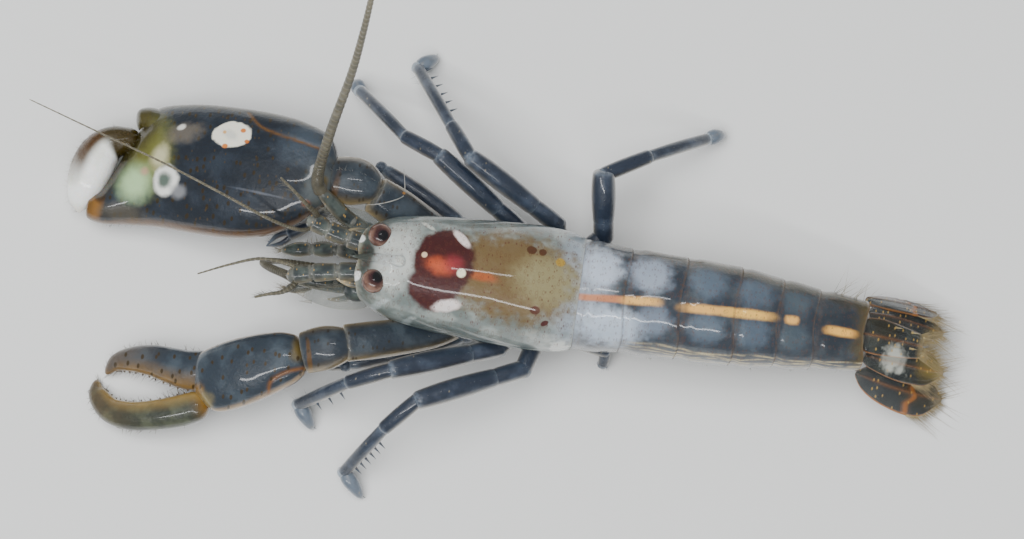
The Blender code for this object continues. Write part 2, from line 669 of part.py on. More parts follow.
def build_legs(shield, first_ring, arms):
    """Four pairs of slender legs, cut clear of the body and of what they pass close by."""
    legs = {}
    for name, joints in PINCER_LEGS.items():
        legs[name] = limb(joints, PINCER_LEG_RADII, sides=LEG_SIDES, tip=0.3)
    for name, joints in LEGS.items():
        legs[name] = limb(joints, LEG_RADII, sides=LEG_SIDES, tip=0.4)
    legs["leg_5_left"] = limb(FOLDED_LEG, FOLDED_LEG_RADII, sides=LEG_SIDES, tip=0.5, up=(0.2, 1, 0.3))
    for name, leg in legs.items():
        cut_clear(leg, shield)
        if name.startswith("leg_2"):
            arm = arms[0] if name.endswith("right") else arms[1]
            cut_clear(leg, arm[0])
        else:
            stood_on_floor(leg)
        if name.startswith("leg_5"):
            cut_clear(leg, first_ring)
    return legs


def build_head_limbs(shield, arm):
    """Antennules, antennae and the outer mouth limbs, with their feelers."""
    parts = {}
    for name, joints in ANTENNULES.items():
        parts[name] = limb(joints, ANTENNULE_WIDTHS, ANTENNULE_HEIGHTS, tip=0.9)
    parts["antenna_right"] = cut_clear(antenna_base(1), *arm)
    parts["antenna_left"] = antenna_base(-1)
    for name, joints in MOUTH_LIMBS.items():
        parts[name] = limb(joints, MOUTH_LIMB_RADII, tip=0.5)
    for part in parts.values():
        cut_clear(part, shield)
    cut_clear(parts["antenna_right"], parts["antennule_right"])
    cut_clear(parts["antenna_left"], parts["antennule_left"])
    for name, points in FEELERS.items():
        feelers_root = name.split("_flagellum")[0]
        parts[name] = cut_clear(feeler(points), parts[feelers_root])
    return parts


def build_swimmerets(rings):
    """Five pairs of swimming legs that hang under the abdomen and lean back."""
    paddles = {}
    for number, ring in enumerate(rings[:-1]):
        front, back = ABDOMEN_JOINTS[number], ABDOMEN_JOINTS[number + 1]
        x = front + PADDLE_PLACE * (back - front)
        half_width, _, belly = row_at(BODY_ROWS, x)
        for side_name, side in (("right", 1), ("left", -1)):
            y = side * half_width * PADDLE_OUT
            root = Vector((x, y, belly + PADDLE_ROOT_RISE))
            tip = Vector((x + PADDLE_REACH, y * PADDLE_SPREAD, PADDLE_TIP_HEIGHT))
            points = (root, root.lerp(tip, 0.5), tip)
            paddle = bent(points, PADDLE_WIDTHS, PADDLE_HEIGHTS, LEG_SIDES, up=(0, 1, 0), steps=3)
            paddles[f"pleopod_{number + 1}_{side_name}"] = cut_clear(paddle, ring)
    return paddles


def main():
    clear_scene()
    make_materials()
    shield, eyes, rings = build_body()
    tail = build_tail(rings[-1])
    right_arm, left_arm = build_claws(shield)
    legs = build_legs(shield, rings[0], (list(right_arm.values()), list(left_arm.values())))
    head_limbs = build_head_limbs(shield, list(right_arm.values())[:3])
    paddles = build_swimmerets(rings)
    finished(shield, "carapace", "shield")
    for name, eye in eyes.items():
        finished(eye, name, "eye")
    for number, ring in enumerate(rings):
        finished(ring, f"pleon_{number + 1}", "abdomen")
    for name, plate in tail.items():
        finished(plate, name, "tail")
    for name, piece in {**right_arm, **left_arm}.items():
        finished(piece, name, "finger" if name.endswith("finger") else "claw")
    for name, leg in legs.items():
        finished(leg, name, "leg")
    for name, part in head_limbs.items():
        finished(part, name, "feeler" if "flagellum" in name else "leg")
    for name, paddle in paddles.items():
        finished(paddle, name, "leg")


main()
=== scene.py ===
"""A snapping shrimp at life size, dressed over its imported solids.

Shapes are worked out in millimetres: x runs back from the tip of the snout, y to the animal's right
and z up from the floor. They become metres about the frame's own origin when a piece is finished.
Every piece is made of closed grids of rings, with fine bristles joined to them, and its finish reads
masks that the piece paints on itself and places in the same millimetres.
"""

from __future__ import annotations

import logging
import math
from collections.abc import Callable
from dataclasses import dataclass, field
from enum import Enum, IntEnum

import bpy
import numpy as np
from mathutils import Matrix, Vector


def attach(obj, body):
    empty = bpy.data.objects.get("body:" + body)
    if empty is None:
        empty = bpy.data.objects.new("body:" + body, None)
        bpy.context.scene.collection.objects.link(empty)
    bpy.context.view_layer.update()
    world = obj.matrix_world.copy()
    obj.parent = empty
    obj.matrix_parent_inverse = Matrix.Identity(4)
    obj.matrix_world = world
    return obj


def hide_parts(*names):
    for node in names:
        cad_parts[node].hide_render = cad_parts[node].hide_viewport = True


LOG = logging.getLogger("shrimp")
MM = 0.001
SNOUT_PLACE = np.array([3.2, 0.22, 0.0])    # the frame's origin, seen from the snout and the midline
UP = np.array([0.0, 0.0, 1.0])
FLOOR_EASE = 0.04      # the height, in millimetres, below which points are eased up to the floor
DEPTH = 1.12           # how much darker the wet shell's tones are laid, against the picture's soft curve
LEAST_END = 0.02       # the share of its width that a segment keeps at its very ends

Array = np.ndarray
Socket = bpy.types.NodeSocket
Triple = tuple[float, float, float]
Knots = tuple[tuple[float, ...], ...]


class Mask(Enum):
    """What a piece paints on its own surface for its finish to read."""

    # On legs, arms, wrists, mouth legs and feeler stems the flank is a painted pale rim, the light that the
    # edges of the clear shell catch; on claws, fingers, fins and the abdomen's flaps it is a coloured margin.
    FLANK = "flank"    # the two sides of a limb, where the clear shell looks pale
    JOINT = "joint"    # where one segment meets the next
    TIP = "tip"        # claws, spines and hairs
    SEAM = "seam"      # marked lines and inner edges


class Side(Enum):
    """The animal's own right and left, as the sign of y."""

    RIGHT = 1
    LEFT = -1

    @property
    def word(self) -> str:
        """The side's name as it stands in the names of the nodes."""
        return self.name.lower()


class Seed(IntEnum):
    """The seed of each piece's random draw, to which one of several pieces adds its number or side."""

    SHIELD = 3
    FLESH = 4
    EYE = 5
    RING = 20
    BLADE = 40
    GREAT_ARM = 60
    GREAT_WRIST = 61
    GREAT_PALM = 62
    GREAT_FINGER = 63
    LESSER_ARM = 70
    LESSER_WRIST = 71
    LESSER_PALM = 72
    LESSER_FINGER = 73
    PINCER_LEG = 90
    WALKING_LEG = 100
    ANTENNULE = 130
    WHIP = 150
    FEELER_BASE = 170
    FEELER_SCALE = 180
    MOUTH_LEG = 190
    SWIMMERET = 200


def spline(knots: Knots | Array, shares: Array) -> Array:
    """Reads a Catmull-Rom curve through the knots at shares of its length in knots.

    Each span is the cubic whose slope at a knot is half the step between the knots beside it.

    Args:
        knots: rows of any number of values.
        shares: places from 0 at the first knot to 1 at the last.

    Returns:
        One row of values for each share.
    """
    rows = np.asarray(knots, float)
    rows = np.vstack([2 * rows[0] - rows[1], rows, 2 * rows[-1] - rows[-2]])
    spans = len(rows) - 3
    place = np.asarray(shares, float) * spans
    index = np.clip(place.astype(int), 0, spans - 1)
    t = (place - index)[:, None]
    a, b, c, d = (rows[index + step] for step in range(4))
    return 0.5 * (2 * b + (c - a) * t + (2 * a - 5 * b + 4 * c - d) * t**2 + (3 * b - a - 3 * c + d) * t**3)


def profile(values: tuple[float, ...], shares: Array) -> Array:
    """A smooth run of single values read at shares from 0 to 1."""
    return spline(tuple((value,) for value in values), shares)[:, 0]


def stations(count: int) -> Array:
    """Shares from 0 to 1 that crowd towards both ends, as the cosine does."""
    return 0.5 - 0.5 * np.cos(np.linspace(0.0, math.pi, count))


def rounded(shares: Array, front: float, back: float) -> Array:
    """A factor that rises from 0 at each end as a quarter circle over that share of the length."""
    rise = np.clip(shares / front, 0.0, 1.0)
    fall = np.clip((1.0 - shares) / back, 0.0, 1.0)
    return np.sqrt(1.0 - (1.0 - rise) ** 2) * np.sqrt(1.0 - (1.0 - fall) ** 2)


def smooth_step(values: Array, low: float, high: float) -> Array:
    """The cubic 3t^2 - 2t^3 of how far each value is from low to high."""
    t = np.clip((values - low) / (high - low), 0.0, 1.0)
    return t * t * (3.0 - 2.0 * t)


def hump(values: Array, centre: float, width: float) -> Array:
    """A bell curve of height 1."""
    return np.exp(-(((values - centre) / width) ** 2))


def unit(vectors: Array) -> Array:
    """The vectors at length 1."""
    return vectors / np.maximum(np.linalg.norm(vectors, axis=-1, keepdims=True), 1e-12)


def ring_angles(sides: int) -> Array:
    """The angles of the points of a ring, a full turn in even steps."""
    return np.linspace(0.0, math.tau, sides, endpoint=False)


def bent(values: Array, power: float) -> Array:
    """Sines or cosines raised to a power with their sign kept, which makes a ring squarer."""
    return np.sign(values) * np.abs(values) ** power


def swelling(values: tuple[float, ...], shares: Array, front: float, back: float, least: float) -> Array:
    """Sizes read along a piece, times a rounding off of both ends that is never less than the least."""
    return profile(values, shares) * np.maximum(rounded(shares, front, back), least)


def grid(x: Array, y: Array, z: Array) -> Array:
    """Points from their three coordinates, each spread over the rows or columns that it lacks."""
    return np.stack(np.broadcast_arrays(x, y, z), axis=-1)


def tube(
    path: Array, widths: Array, heights: Array, sides: int, up: Array = UP, fullness: float = 2.2
) -> tuple[Array, Array]:
    """Rings of a superellipse carried square to a path.

    Args:
        path: the middle of each ring.
        widths: half the width of each ring, across the path and level.
        heights: half its height.
        sides: points in a ring.
        up: the direction that the rings' height leans to.
        fullness: 2 for an ellipse, more for a squarer ring.

    Returns:
        The rings, and the angle of each of their columns, 0 on the side and a quarter turn at the top.
    """
    ahead = unit(np.gradient(path, axis=0))
    side = unit(np.cross(ahead, up))
    rise = np.cross(side, ahead)
    angle = ring_angles(sides)
    across, over = bent(np.cos(angle), 2.0 / fullness), bent(np.sin(angle), 2.0 / fullness)
    level = side[:, None] * (widths[:, None] * across)[..., None]
    lift = rise[:, None] * (heights[:, None] * over)[..., None]
    return path[:, None] + level + lift, angle


def ellipsoid(centre: Triple, radii: Triple, rows: int = 24, sides: int = 32) -> Array:
    """Rings of an ellipsoid from its lowest point to its highest."""
    lift = np.linspace(-math.pi / 2, math.pi / 2, rows)[:, None]
    angle = ring_angles(sides)
    points = grid(np.cos(lift) * np.cos(angle), np.cos(lift) * np.sin(angle), np.sin(lift))
    return np.asarray(centre) + points * np.asarray(radii)


class Carving:
    """One piece in the making: closed grids and bristles that become one mesh."""

    def __init__(self, seed: int) -> None:
        """Starts empty, with its own seeded draw."""
        self.draw = np.random.default_rng(int(seed))
        self._points: list[Array] = []
        self._quads: list[Array] = []
        self._triangles: list[Array] = []
        self._masks: dict[Mask, list[Array]] = {mask: [] for mask in Mask}
        self._count = 0

    def _store(self, points: Array, quads: Array, triangles: Array, masks: dict[Mask, Array]) -> None:
        """Keeps one batch of points and faces, with the masks for its points."""
        self._points.append(points)
        self._quads.append(quads + self._count)
        self._triangles.append(triangles + self._count)
        for mask in Mask:
            self._masks[mask].append(np.asarray(masks.get(mask, np.zeros(len(points))), float))
        self._count += len(points)

    def add_rings(self, rings: Array, masks: dict[Mask, Array] | None = None) -> None:
        """Adds a closed surface of rings joined in turn, with a middle point closing each end.

        Args:
            rings: points in millimetres, by ring, column and axis.
            masks: values by ring and column, or by one of the two with the other left at length 1.
        """
        rows, columns = rings.shape[:2]
        points = np.vstack([rings.reshape(-1, 3), rings[[0, -1]].mean(axis=1)])
        here = np.arange(rows * columns).reshape(rows, columns)
        across = np.roll(here, -1, axis=1)
        quads = np.stack([here[:-1], across[:-1], across[1:], here[1:]], axis=-1).reshape(-1, 4)
        first, last = (np.full(columns, rows * columns + end) for end in (0, 1))
        caps = np.vstack([
            np.stack([across[0], here[0], first], axis=-1),
            np.stack([here[-1], across[-1], last], axis=-1),
        ])
        halves = np.vstack([quads[:, :3], quads[:, [0, 2, 3]], caps])
        corners = points[halves] - points.mean(axis=0)
        if np.einsum("ij,ij->i", corners[:, 0], np.cross(corners[:, 1], corners[:, 2])).sum() < 0:
            quads, caps = quads[:, ::-1], caps[:, ::-1]
        full = {}
        for mask, values in (masks or {}).items():
            spread = np.ascontiguousarray(np.broadcast_to(values, (rows, columns)), float)
            full[mask] = np.concatenate([spread.ravel(), spread[[0, -1]].mean(axis=1)])
        self._store(points, quads, caps, full)

    def add_bristles(
        self, roots: Array, ways: Array, lengths: Array, radius: float, sag: float = 0.12, tip: float = 0.6
    ) -> None:
        """Adds fine three-sided hairs or spines, each a cone that bends a little downwards.

        A point of a hair is its root plus its way by the share along it, less the sag by that share squared.

        Args:
            roots: where the hairs grow.
            ways: the direction of each.
            lengths: how long each is.
            radius: half the thickness of each at its root.
            sag: how far a tip drops, as a share of the length.
            tip: the value of the tip mask on the hairs.
        """
        count, steps, sides = len(roots), 4, 3
        ways = unit(ways)
        one = unit(np.cross(ways, np.array([0.31, 0.52, 0.79])))
        two = np.cross(ways, one)
        share = np.linspace(0.0, 1.0, steps)
        angle = np.arange(sides) * math.tau / sides
        thin = radius * (1.0 - 0.92 * share)
        reach = lengths[:, None, None] * share[None, :, None]
        middle = roots[:, None] + ways[:, None] * reach - UP * (lengths[:, None] * sag * share**2)[..., None]
        spread = one[:, None] * np.cos(angle)[None, :, None] + two[:, None] * np.sin(angle)[None, :, None]
        points = middle[:, :, None] + spread[:, None] * thin[None, :, None, None]
        here = np.arange(count * steps * sides).reshape(count, steps, sides)
        across = np.roll(here, -1, axis=2)
        quads = np.stack([here[:, :-1], across[:, :-1], across[:, 1:], here[:, 1:]], axis=-1).reshape(-1, 4)
        caps = np.vstack([here[:, 0, ::-1], here[:, -1]])
        values = np.full(count * steps * sides, tip)
        self._store(points.reshape(-1, 3), quads, caps, {Mask.TIP: values})

    def finish(self, name: str, material: bpy.types.Material, slot: str, *nodes: str) -> bpy.types.Object:
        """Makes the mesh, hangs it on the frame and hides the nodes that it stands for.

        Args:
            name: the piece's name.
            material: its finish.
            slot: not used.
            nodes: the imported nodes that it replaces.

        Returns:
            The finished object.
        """
        points = np.vstack(self._points)
        low = np.minimum(points[:, 2] / FLOOR_EASE - 1.0, 0.0)
        points[:, 2] = np.where(low < 0.0, FLOOR_EASE * np.exp(low), points[:, 2])
        points = (points - SNOUT_PLACE) * MM
        quads, triangles = np.vstack(self._quads), np.vstack(self._triangles)
        mesh = bpy.data.meshes.new(name)
        mesh.vertices.add(len(points))
        mesh.vertices.foreach_set("co", points.ravel())
        mesh.loops.add(quads.size + triangles.size)
        mesh.loops.foreach_set("vertex_index",
                               np.concatenate([quads.ravel(), triangles.ravel()]).astype(np.int32))
        starts = np.concatenate([np.arange(len(quads)) * 4, quads.size + np.arange(len(triangles)) * 3])
        mesh.polygons.add(len(starts))
        mesh.polygons.foreach_set("loop_start", starts.astype(np.int32))
        mesh.update(calc_edges=True)
        for mask, values in self._masks.items():
            layer = mesh.attributes.new(mask.value, "FLOAT", "POINT")
            layer.data.foreach_set("value", np.concatenate(values).astype(np.float32))
        mesh.validate()
        mesh.shade_smooth()
        mesh.materials.append(material)
        piece = bpy.data.objects.new(name, mesh)
        bpy.context.scene.collection.objects.link(piece)
        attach(piece, "root")
        if nodes:
            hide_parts(*nodes)
        LOG.info("%s: %d faces for %s", name, len(starts), ", ".join(nodes) or "the render alone")
        return piece


class Painter:
    """Adds nodes to a shader or group tree, and links them."""

    def __init__(self, tree: bpy.types.NodeTree) -> None:
        """Works on that tree."""
        self.tree = tree

    def node(self, kind: str, **settings: object) -> bpy.types.Node:
        """A new node of that kind with the settings given."""
        made = self.tree.nodes.new(kind)
        for key, value in settings.items():
            setattr(made, key, value)
        return made

    def feed(self, socket: Socket, value: object) -> None:
        """Links a socket to another, or sets its own value."""
        if isinstance(value, Socket):
            self.tree.links.new(value, socket)
        elif socket.type == "RGBA" and len(value) == 3:
            socket.default_value = (*value, 1.0)
        else:
            socket.default_value = value

    def math(self, operation: str, *values: object, clamp: bool = False) -> Socket:
        """One sum of plain numbers."""
        made = self.node("ShaderNodeMath", operation=operation, use_clamp=clamp)
        for socket, value in zip(made.inputs, values):
            self.feed(socket, value)
        return made.outputs[0]

    def vectors(self, operation: str, *values: object) -> bpy.types.Node:
        """One sum of vectors."""
        made = self.node("ShaderNodeVectorMath", operation=operation)
        for socket, value in zip(made.inputs, values):
            self.feed(socket, value)
        return made

    def blend(self, share: object, low: object, high: object) -> Socket:
        """A colour between two by a share."""
        made = self.node("ShaderNodeMix", data_type="RGBA", clamp_factor=True)
        self.feed(made.inputs[0], share)
        self.feed(made.inputs[6], low)
        self.feed(made.inputs[7], high)
        return made.outputs[2]

    def span(self, value: object, low: object, high: object) -> Socket:
        """A smooth step from 0 to 1 as the value goes from low to high."""
        made = self.node("ShaderNodeMapRange", interpolation_type="SMOOTHSTEP")
        self.feed(made.inputs["Value"], value)
        self.feed(made.inputs["From Min"], low)
        self.feed(made.inputs["From Max"], high)
        return made.outputs["Result"]

    def noise(self, vector: object, scale: object, detail: float = 3.0) -> Socket:
        """Soft noise about a half."""
        made = self.node("ShaderNodeTexNoise")
        self.feed(made.inputs["Vector"], vector)
        self.feed(made.inputs["Scale"], scale)
        made.inputs["Detail"].default_value = detail
        return made.outputs["Fac"]

    def attribute(self, mask: Mask) -> Socket:
        """A mask that the piece has painted on itself."""
        return self.node("ShaderNodeAttribute", attribute_name=mask.value).outputs["Fac"]

    def place(self) -> Socket:
        """The place on the animal in millimetres from the snout."""
        found = self.node("ShaderNodeTexCoord")
        mapped = self.node("ShaderNodeMapping")
        mapped.inputs["Location"].default_value = tuple(SNOUT_PLACE)
        mapped.inputs["Scale"].default_value = (1.0 / MM,) * 3
        self.feed(mapped.inputs["Vector"], found.outputs["Object"])
        return mapped.outputs["Vector"]

    def group(self, tree: bpy.types.NodeTree, **values: object) -> bpy.types.Node:
        """Places a node group with its own values. An underscore in a name stands for a space."""
        made = self.node("ShaderNodeGroup", node_tree=tree)
        for name, value in values.items():
            self.feed(made.inputs[name.replace("_", " ")], value)
        return made


class Effects:
    """The effects that several finishes share, each a node group that is built once."""

    def __init__(self) -> None:
        """Builds the groups."""
        self.oval = self._oval()
        self.freckles = self._freckles()
        self.relief = self._relief()
        self.stain = self._stain_and_rim()
        self.mottle = self._mottle()

    @staticmethod
    def _open(name: str, inputs: dict[str, str], outputs: dict[str, str]) -> tuple[Painter, dict, dict]:
        """Starts a group with its named sockets.

        Args:
            name: the group's name.
            inputs: the kind of each input socket by name.
            outputs: the same for the outputs.

        Returns:
            A painter for the group, its inputs to read and its outputs to feed, both by name.
        """
        tree = bpy.data.node_groups.new(name, "ShaderNodeTree")
        for label, kind in inputs.items():
            tree.interface.new_socket(label, in_out="INPUT", socket_type=f"NodeSocket{kind}")
        for label, kind in outputs.items():
            tree.interface.new_socket(label, in_out="OUTPUT", socket_type=f"NodeSocket{kind}")
        painter = Painter(tree)
        entry, leave = painter.node("NodeGroupInput"), painter.node("NodeGroupOutput")
        return painter, {k: entry.outputs[k] for k in inputs}, {k: leave.inputs[k] for k in outputs}

    def _oval(self) -> bpy.types.NodeTree:
        """A soft oval patch with a ragged edge."""
        kinds = {"Place": "Vector", "Centre": "Vector", "Radii": "Vector", "Turn": "Float", "Soft": "Float",
                 "Ragged": "Float", "Square": "Float", "Strength": "Float"}
        p, source, target = self._open("oval patch", kinds, {"Mask": "Float"})
        away = p.vectors("SUBTRACT", source["Place"], source["Centre"]).outputs[0]
        turned = p.node("ShaderNodeVectorRotate", rotation_type="Z_AXIS")
        p.feed(turned.inputs["Vector"], away)
        p.feed(turned.inputs["Angle"], source["Turn"])
        scaled = p.vectors("DIVIDE", turned.outputs[0], source["Radii"]).outputs[0]
        flat = p.node("ShaderNodeSeparateXYZ")
        p.feed(flat.inputs[0], p.vectors("ABSOLUTE", scaled).outputs[0])
        box = p.math("MULTIPLY", p.math("MAXIMUM", flat.outputs["X"], flat.outputs["Y"]), source["Square"])
        length = p.vectors("LENGTH", scaled).outputs["Value"]
        distance = p.math("ADD", box, p.math("MULTIPLY", length, p.math("SUBTRACT", 1.0, source["Square"])))
        wander = p.math("SUBTRACT", p.noise(source["Place"], 4.5, 4.0), 0.5)
        distance = p.math("ADD", distance, p.math("MULTIPLY", wander, source["Ragged"]))
        outer = p.math("ADD", 1.0, source["Soft"])
        inner = p.math("SUBTRACT", 1.0, source["Soft"])
        inside = p.math("SUBTRACT", 1.0, p.span(distance, inner, outer))
        p.feed(target["Mask"], p.math("MULTIPLY", inside, source["Strength"]))
        return p.tree

    def _freckles(self) -> bpy.types.NodeTree:
        """Small pigment spots on what faces up, scattered, a little long across, some of the cells bare."""
        kinds = {"Place": "Vector", "Scale": "Float", "Size": "Float", "Share": "Float", "Hollow": "Float",
                 "Strength": "Float"}
        p, source, target = self._open("pigment freckles", kinds, {"Mask": "Float"})
        cells = p.node("ShaderNodeTexVoronoi", voronoi_dimensions="2D")
        p.feed(cells.inputs["Vector"], p.vectors("MULTIPLY", source["Place"], (1.0, 0.6, 1.0)).outputs[0])
        p.feed(cells.inputs["Scale"], source["Scale"])
        kept = p.math("LESS_THAN", cells.outputs["Color"], source["Share"])
        size = p.math("MULTIPLY", source["Size"], p.math("ADD", 0.6, p.noise(source["Place"], 1.7)))
        dot = p.math("SUBTRACT", 1.0, p.span(cells.outputs["Distance"], p.math("MULTIPLY", size, 0.6), size))
        half = p.math("MULTIPLY", size, 0.6)
        hole = p.math("SUBTRACT", 1.0, p.span(cells.outputs["Distance"], p.math("MULTIPLY", half, 0.5), half))
        ring = p.math("SUBTRACT", dot, p.math("MULTIPLY", hole, source["Hollow"]))
        facing = p.node("ShaderNodeSeparateXYZ")
        p.feed(facing.inputs[0], p.node("ShaderNodeNewGeometry").outputs["Normal"])
        shown = p.math("MULTIPLY", kept, p.span(facing.outputs["Z"], 0.15, 0.45))
        p.feed(target["Mask"], p.math("MULTIPLY", p.math("MULTIPLY", ring, shown), source["Strength"]))
        return p.tree

    def _relief(self) -> bpy.types.NodeTree:
        """Height of the shell's fine pits and slow waves, and how its gloss wanders."""
        p, source, target = self._open(
            "shell relief", {"Place": "Vector", "Grain": "Float", "Roughness": "Float"},
            {"Height": "Float", "Roughness": "Float"},
        )
        pits = p.noise(source["Place"], source["Grain"], 4.0)
        waves = p.noise(source["Place"], 2.4, 2.0)
        p.feed(target["Height"], p.math("ADD", p.math("MULTIPLY", pits, 0.4), waves))
        wander = p.math("MULTIPLY", p.math("SUBTRACT", p.noise(source["Place"], 5.0), 0.5), 0.25)
        p.feed(target["Roughness"], p.math("ADD", source["Roughness"], wander, clamp=True))
        return p.tree

    def _stain_and_rim(self) -> bpy.types.NodeTree:
        """A painted mask broken up by noise."""
        kinds = {"Place": "Vector", "Mask": "Float", "Grain": "Float", "Broken": "Float", "Strength": "Float"}
        p, source, target = self._open("broken stain", kinds, {"Mask": "Float"})
        loss = p.math("SUBTRACT", 1.0, p.span(p.noise(source["Place"], source["Grain"], 4.0), 0.3, 0.6))
        kept = p.math("SUBTRACT", 1.0, p.math("MULTIPLY", loss, source["Broken"]))
        cover = p.math("MULTIPLY", source["Mask"], source["Strength"])
        p.feed(target["Mask"], p.math("MULTIPLY", cover, kept, clamp=True))
        return p.tree

    def _mottle(self) -> bpy.types.NodeTree:
        """Soft clouds that cover about the given share."""
        kinds = {"Place": "Vector", "Scale": "Float", "Share": "Float"}
        p, source, target = self._open("mottling", kinds, {"Mask": "Float"})
        level = p.math("SUBTRACT", 1.0, source["Share"])
        cloud = p.noise(source["Place"], source["Scale"], 5.0)
        low = p.math("ADD", p.math("MULTIPLY", level, 0.4), 0.22)
        p.feed(target["Mask"], p.span(cloud, low, p.math("ADD", low, 0.22)))
        return p.tree


@dataclass(frozen=True)
class Spot:
    """A soft patch of colour with a ragged edge, an oval or, where square is 1, an oblong: mostly pigment,
    but a few on the head shield are painted highlights.
    """

    at: Triple
    radii: Triple
    colour: Triple
    strength: float = 1.0
    turn: float = 0.0
    soft: float = 0.25
    ragged: float = 0.8
    square: float = 0.0


@dataclass(frozen=True)
class Stain:
    """A colour laid where a piece has painted a mask on itself, broken up by noise: mostly a pigment stain,
    but on the flanks of legs, arms and mouth legs a painted pale rim of light.
    """

    mask: Mask
    colour: Triple
    strength: float = 1.0
    grain: float = 7.0
    broken: float = 0.35


@dataclass(frozen=True)
class Dots:
    """Small round pigment dots. Scale is in cells per millimetre, and size in shares of a cell."""

    colour: Triple
    scale: float
    size: float
    share: float
    strength: float = 0.85
    hollow: float = 0.0


def seen(colour: Triple) -> tuple[float, float, float, float]:
    """Turns a colour from 0 to 255, as the eye sees it, into the light that a surface gives back."""
    level = np.asarray(colour, float) / 255.0
    linear = np.where(level <= 0.04045, level / 12.92, ((level + 0.055) / 1.055) ** 2.4) ** DEPTH
    return (*(float(value) for value in linear), 1.0)


@dataclass(frozen=True)
class ShellFinish:
    """Wet shell: a mottled ground, patches (a few of them painted highlights), stains and painted pale rims
    on the masks, dots, fine relief and a clear coat.
    """

    name: str
    ground: Triple
    cloud: Triple
    cloud_share: float = 0.5
    cloud_scale: float = 1.6
    spots: tuple[Spot, ...] = ()
    stains_and_rims: tuple[Stain, ...] = ()
    dots: tuple[Dots, ...] = ()
    dots_below: tuple[Dots, ...] = ()
    roughness: float = 0.34
    coat: float = 1.0
    coat_roughness: float = 0.05
    alpha: float = 1.0
    deep: float = 0.15
    clear: float = 0.0
    sheen: float = 0.0
    relief: float = 0.03
    grain: float = 15.0
    ior: float = 1.5
    coat_ior: float = 1.4
    sheen_roughness: float = 0.35
    deep_radius: Triple = (1.0, 0.7, 0.5)    # how far red, green and blue light travels in the flesh
    deep_scale: float = 0.25                 # the millimetres that this radius is counted in

    def build(self, effects: Effects) -> bpy.types.Material:
        """Makes the material.

        Args:
            effects: the shared node groups.

        Returns:
            The material, ready to be put on a mesh.
        """
        material = bpy.data.materials.new(self.name)
        material.use_nodes = True
        material.node_tree.nodes.clear()
        p = Painter(material.node_tree)
        place = p.place()
        mottle = p.group(effects.mottle, Place=place, Scale=self.cloud_scale, Share=self.cloud_share)
        colour = p.blend(mottle.outputs["Mask"], seen(self.ground), seen(self.cloud))
        colour = self._dotted(p, effects, place, colour, self.dots_below)
        for spot in self.spots:
            patch = p.group(effects.oval, Place=place, Centre=spot.at, Radii=spot.radii, Turn=spot.turn,
                            Soft=spot.soft, Ragged=spot.ragged, Square=spot.square, Strength=spot.strength)
            colour = p.blend(patch.outputs["Mask"], colour, seen(spot.colour))
        for stain in self.stains_and_rims:
            mask = p.group(effects.stain, Place=place, Mask=p.attribute(stain.mask), Grain=stain.grain,
                           Broken=stain.broken, Strength=stain.strength)
            colour = p.blend(mask.outputs["Mask"], colour, seen(stain.colour))
        colour = self._dotted(p, effects, place, colour, self.dots)
        relief = p.group(effects.relief, Place=place, Grain=self.grain, Roughness=self.roughness)
        bump = p.node("ShaderNodeBump")
        bump.inputs["Strength"].default_value = 1.0
        bump.inputs["Distance"].default_value = self.relief * MM
        p.feed(bump.inputs["Height"], relief.outputs["Height"])
        shell = p.node("ShaderNodeBsdfPrincipled")
        p.feed(shell.inputs["Base Color"], colour)
        p.feed(shell.inputs["Roughness"], relief.outputs["Roughness"])
        p.feed(shell.inputs["Normal"], bump.outputs["Normal"])
        fixed = {"IOR": self.ior, "Alpha": self.alpha, "Coat Weight": self.coat, "Coat IOR": self.coat_ior,
                 "Coat Roughness": self.coat_roughness, "Subsurface Weight": self.deep,
                 "Transmission Weight": self.clear, "Sheen Weight": self.sheen,
                 "Sheen Roughness": self.sheen_roughness, "Subsurface Radius": self.deep_radius,
                 "Subsurface Scale": self.deep_scale * MM}
        for socket, value in fixed.items():
            shell.inputs[socket].default_value = value
        leave = p.node("ShaderNodeOutputMaterial")
        p.feed(leave.inputs["Surface"], shell.outputs["BSDF"])
        return material

    @staticmethod
    def _dotted(
        p: Painter, effects: Effects, place: Socket, colour: object, layers: tuple[Dots, ...]
    ) -> object:
        """Lays the dots of each layer over a colour, and returns the new one."""
        for dots in layers:
            mask = p.group(effects.freckles, Place=place, Scale=dots.scale, Size=dots.size, Share=dots.share,
                           Strength=dots.strength, Hollow=dots.hollow)
            colour = p.blend(mask.outputs["Mask"], colour, seen(dots.colour))
        return colour


@dataclass(frozen=True)
class FloorFinish:
    """The pale ground the shrimp stands on."""

    name: str = "pale floor"
    colour: Triple = (232, 233, 232)
    roughness: float = 0.8
    specular: float = 0.2

    def build(self) -> bpy.types.Material:
        """Makes the material, a plain matt one."""
        material = bpy.data.materials.new(self.name)
        material.use_nodes = True
        ground = material.node_tree.nodes["Principled BSDF"]
        ground.inputs["Base Color"].default_value = seen(self.colour)
        ground.inputs["Roughness"].default_value = self.roughness
        ground.inputs["Specular IOR Level"].default_value = self.specular
        return material


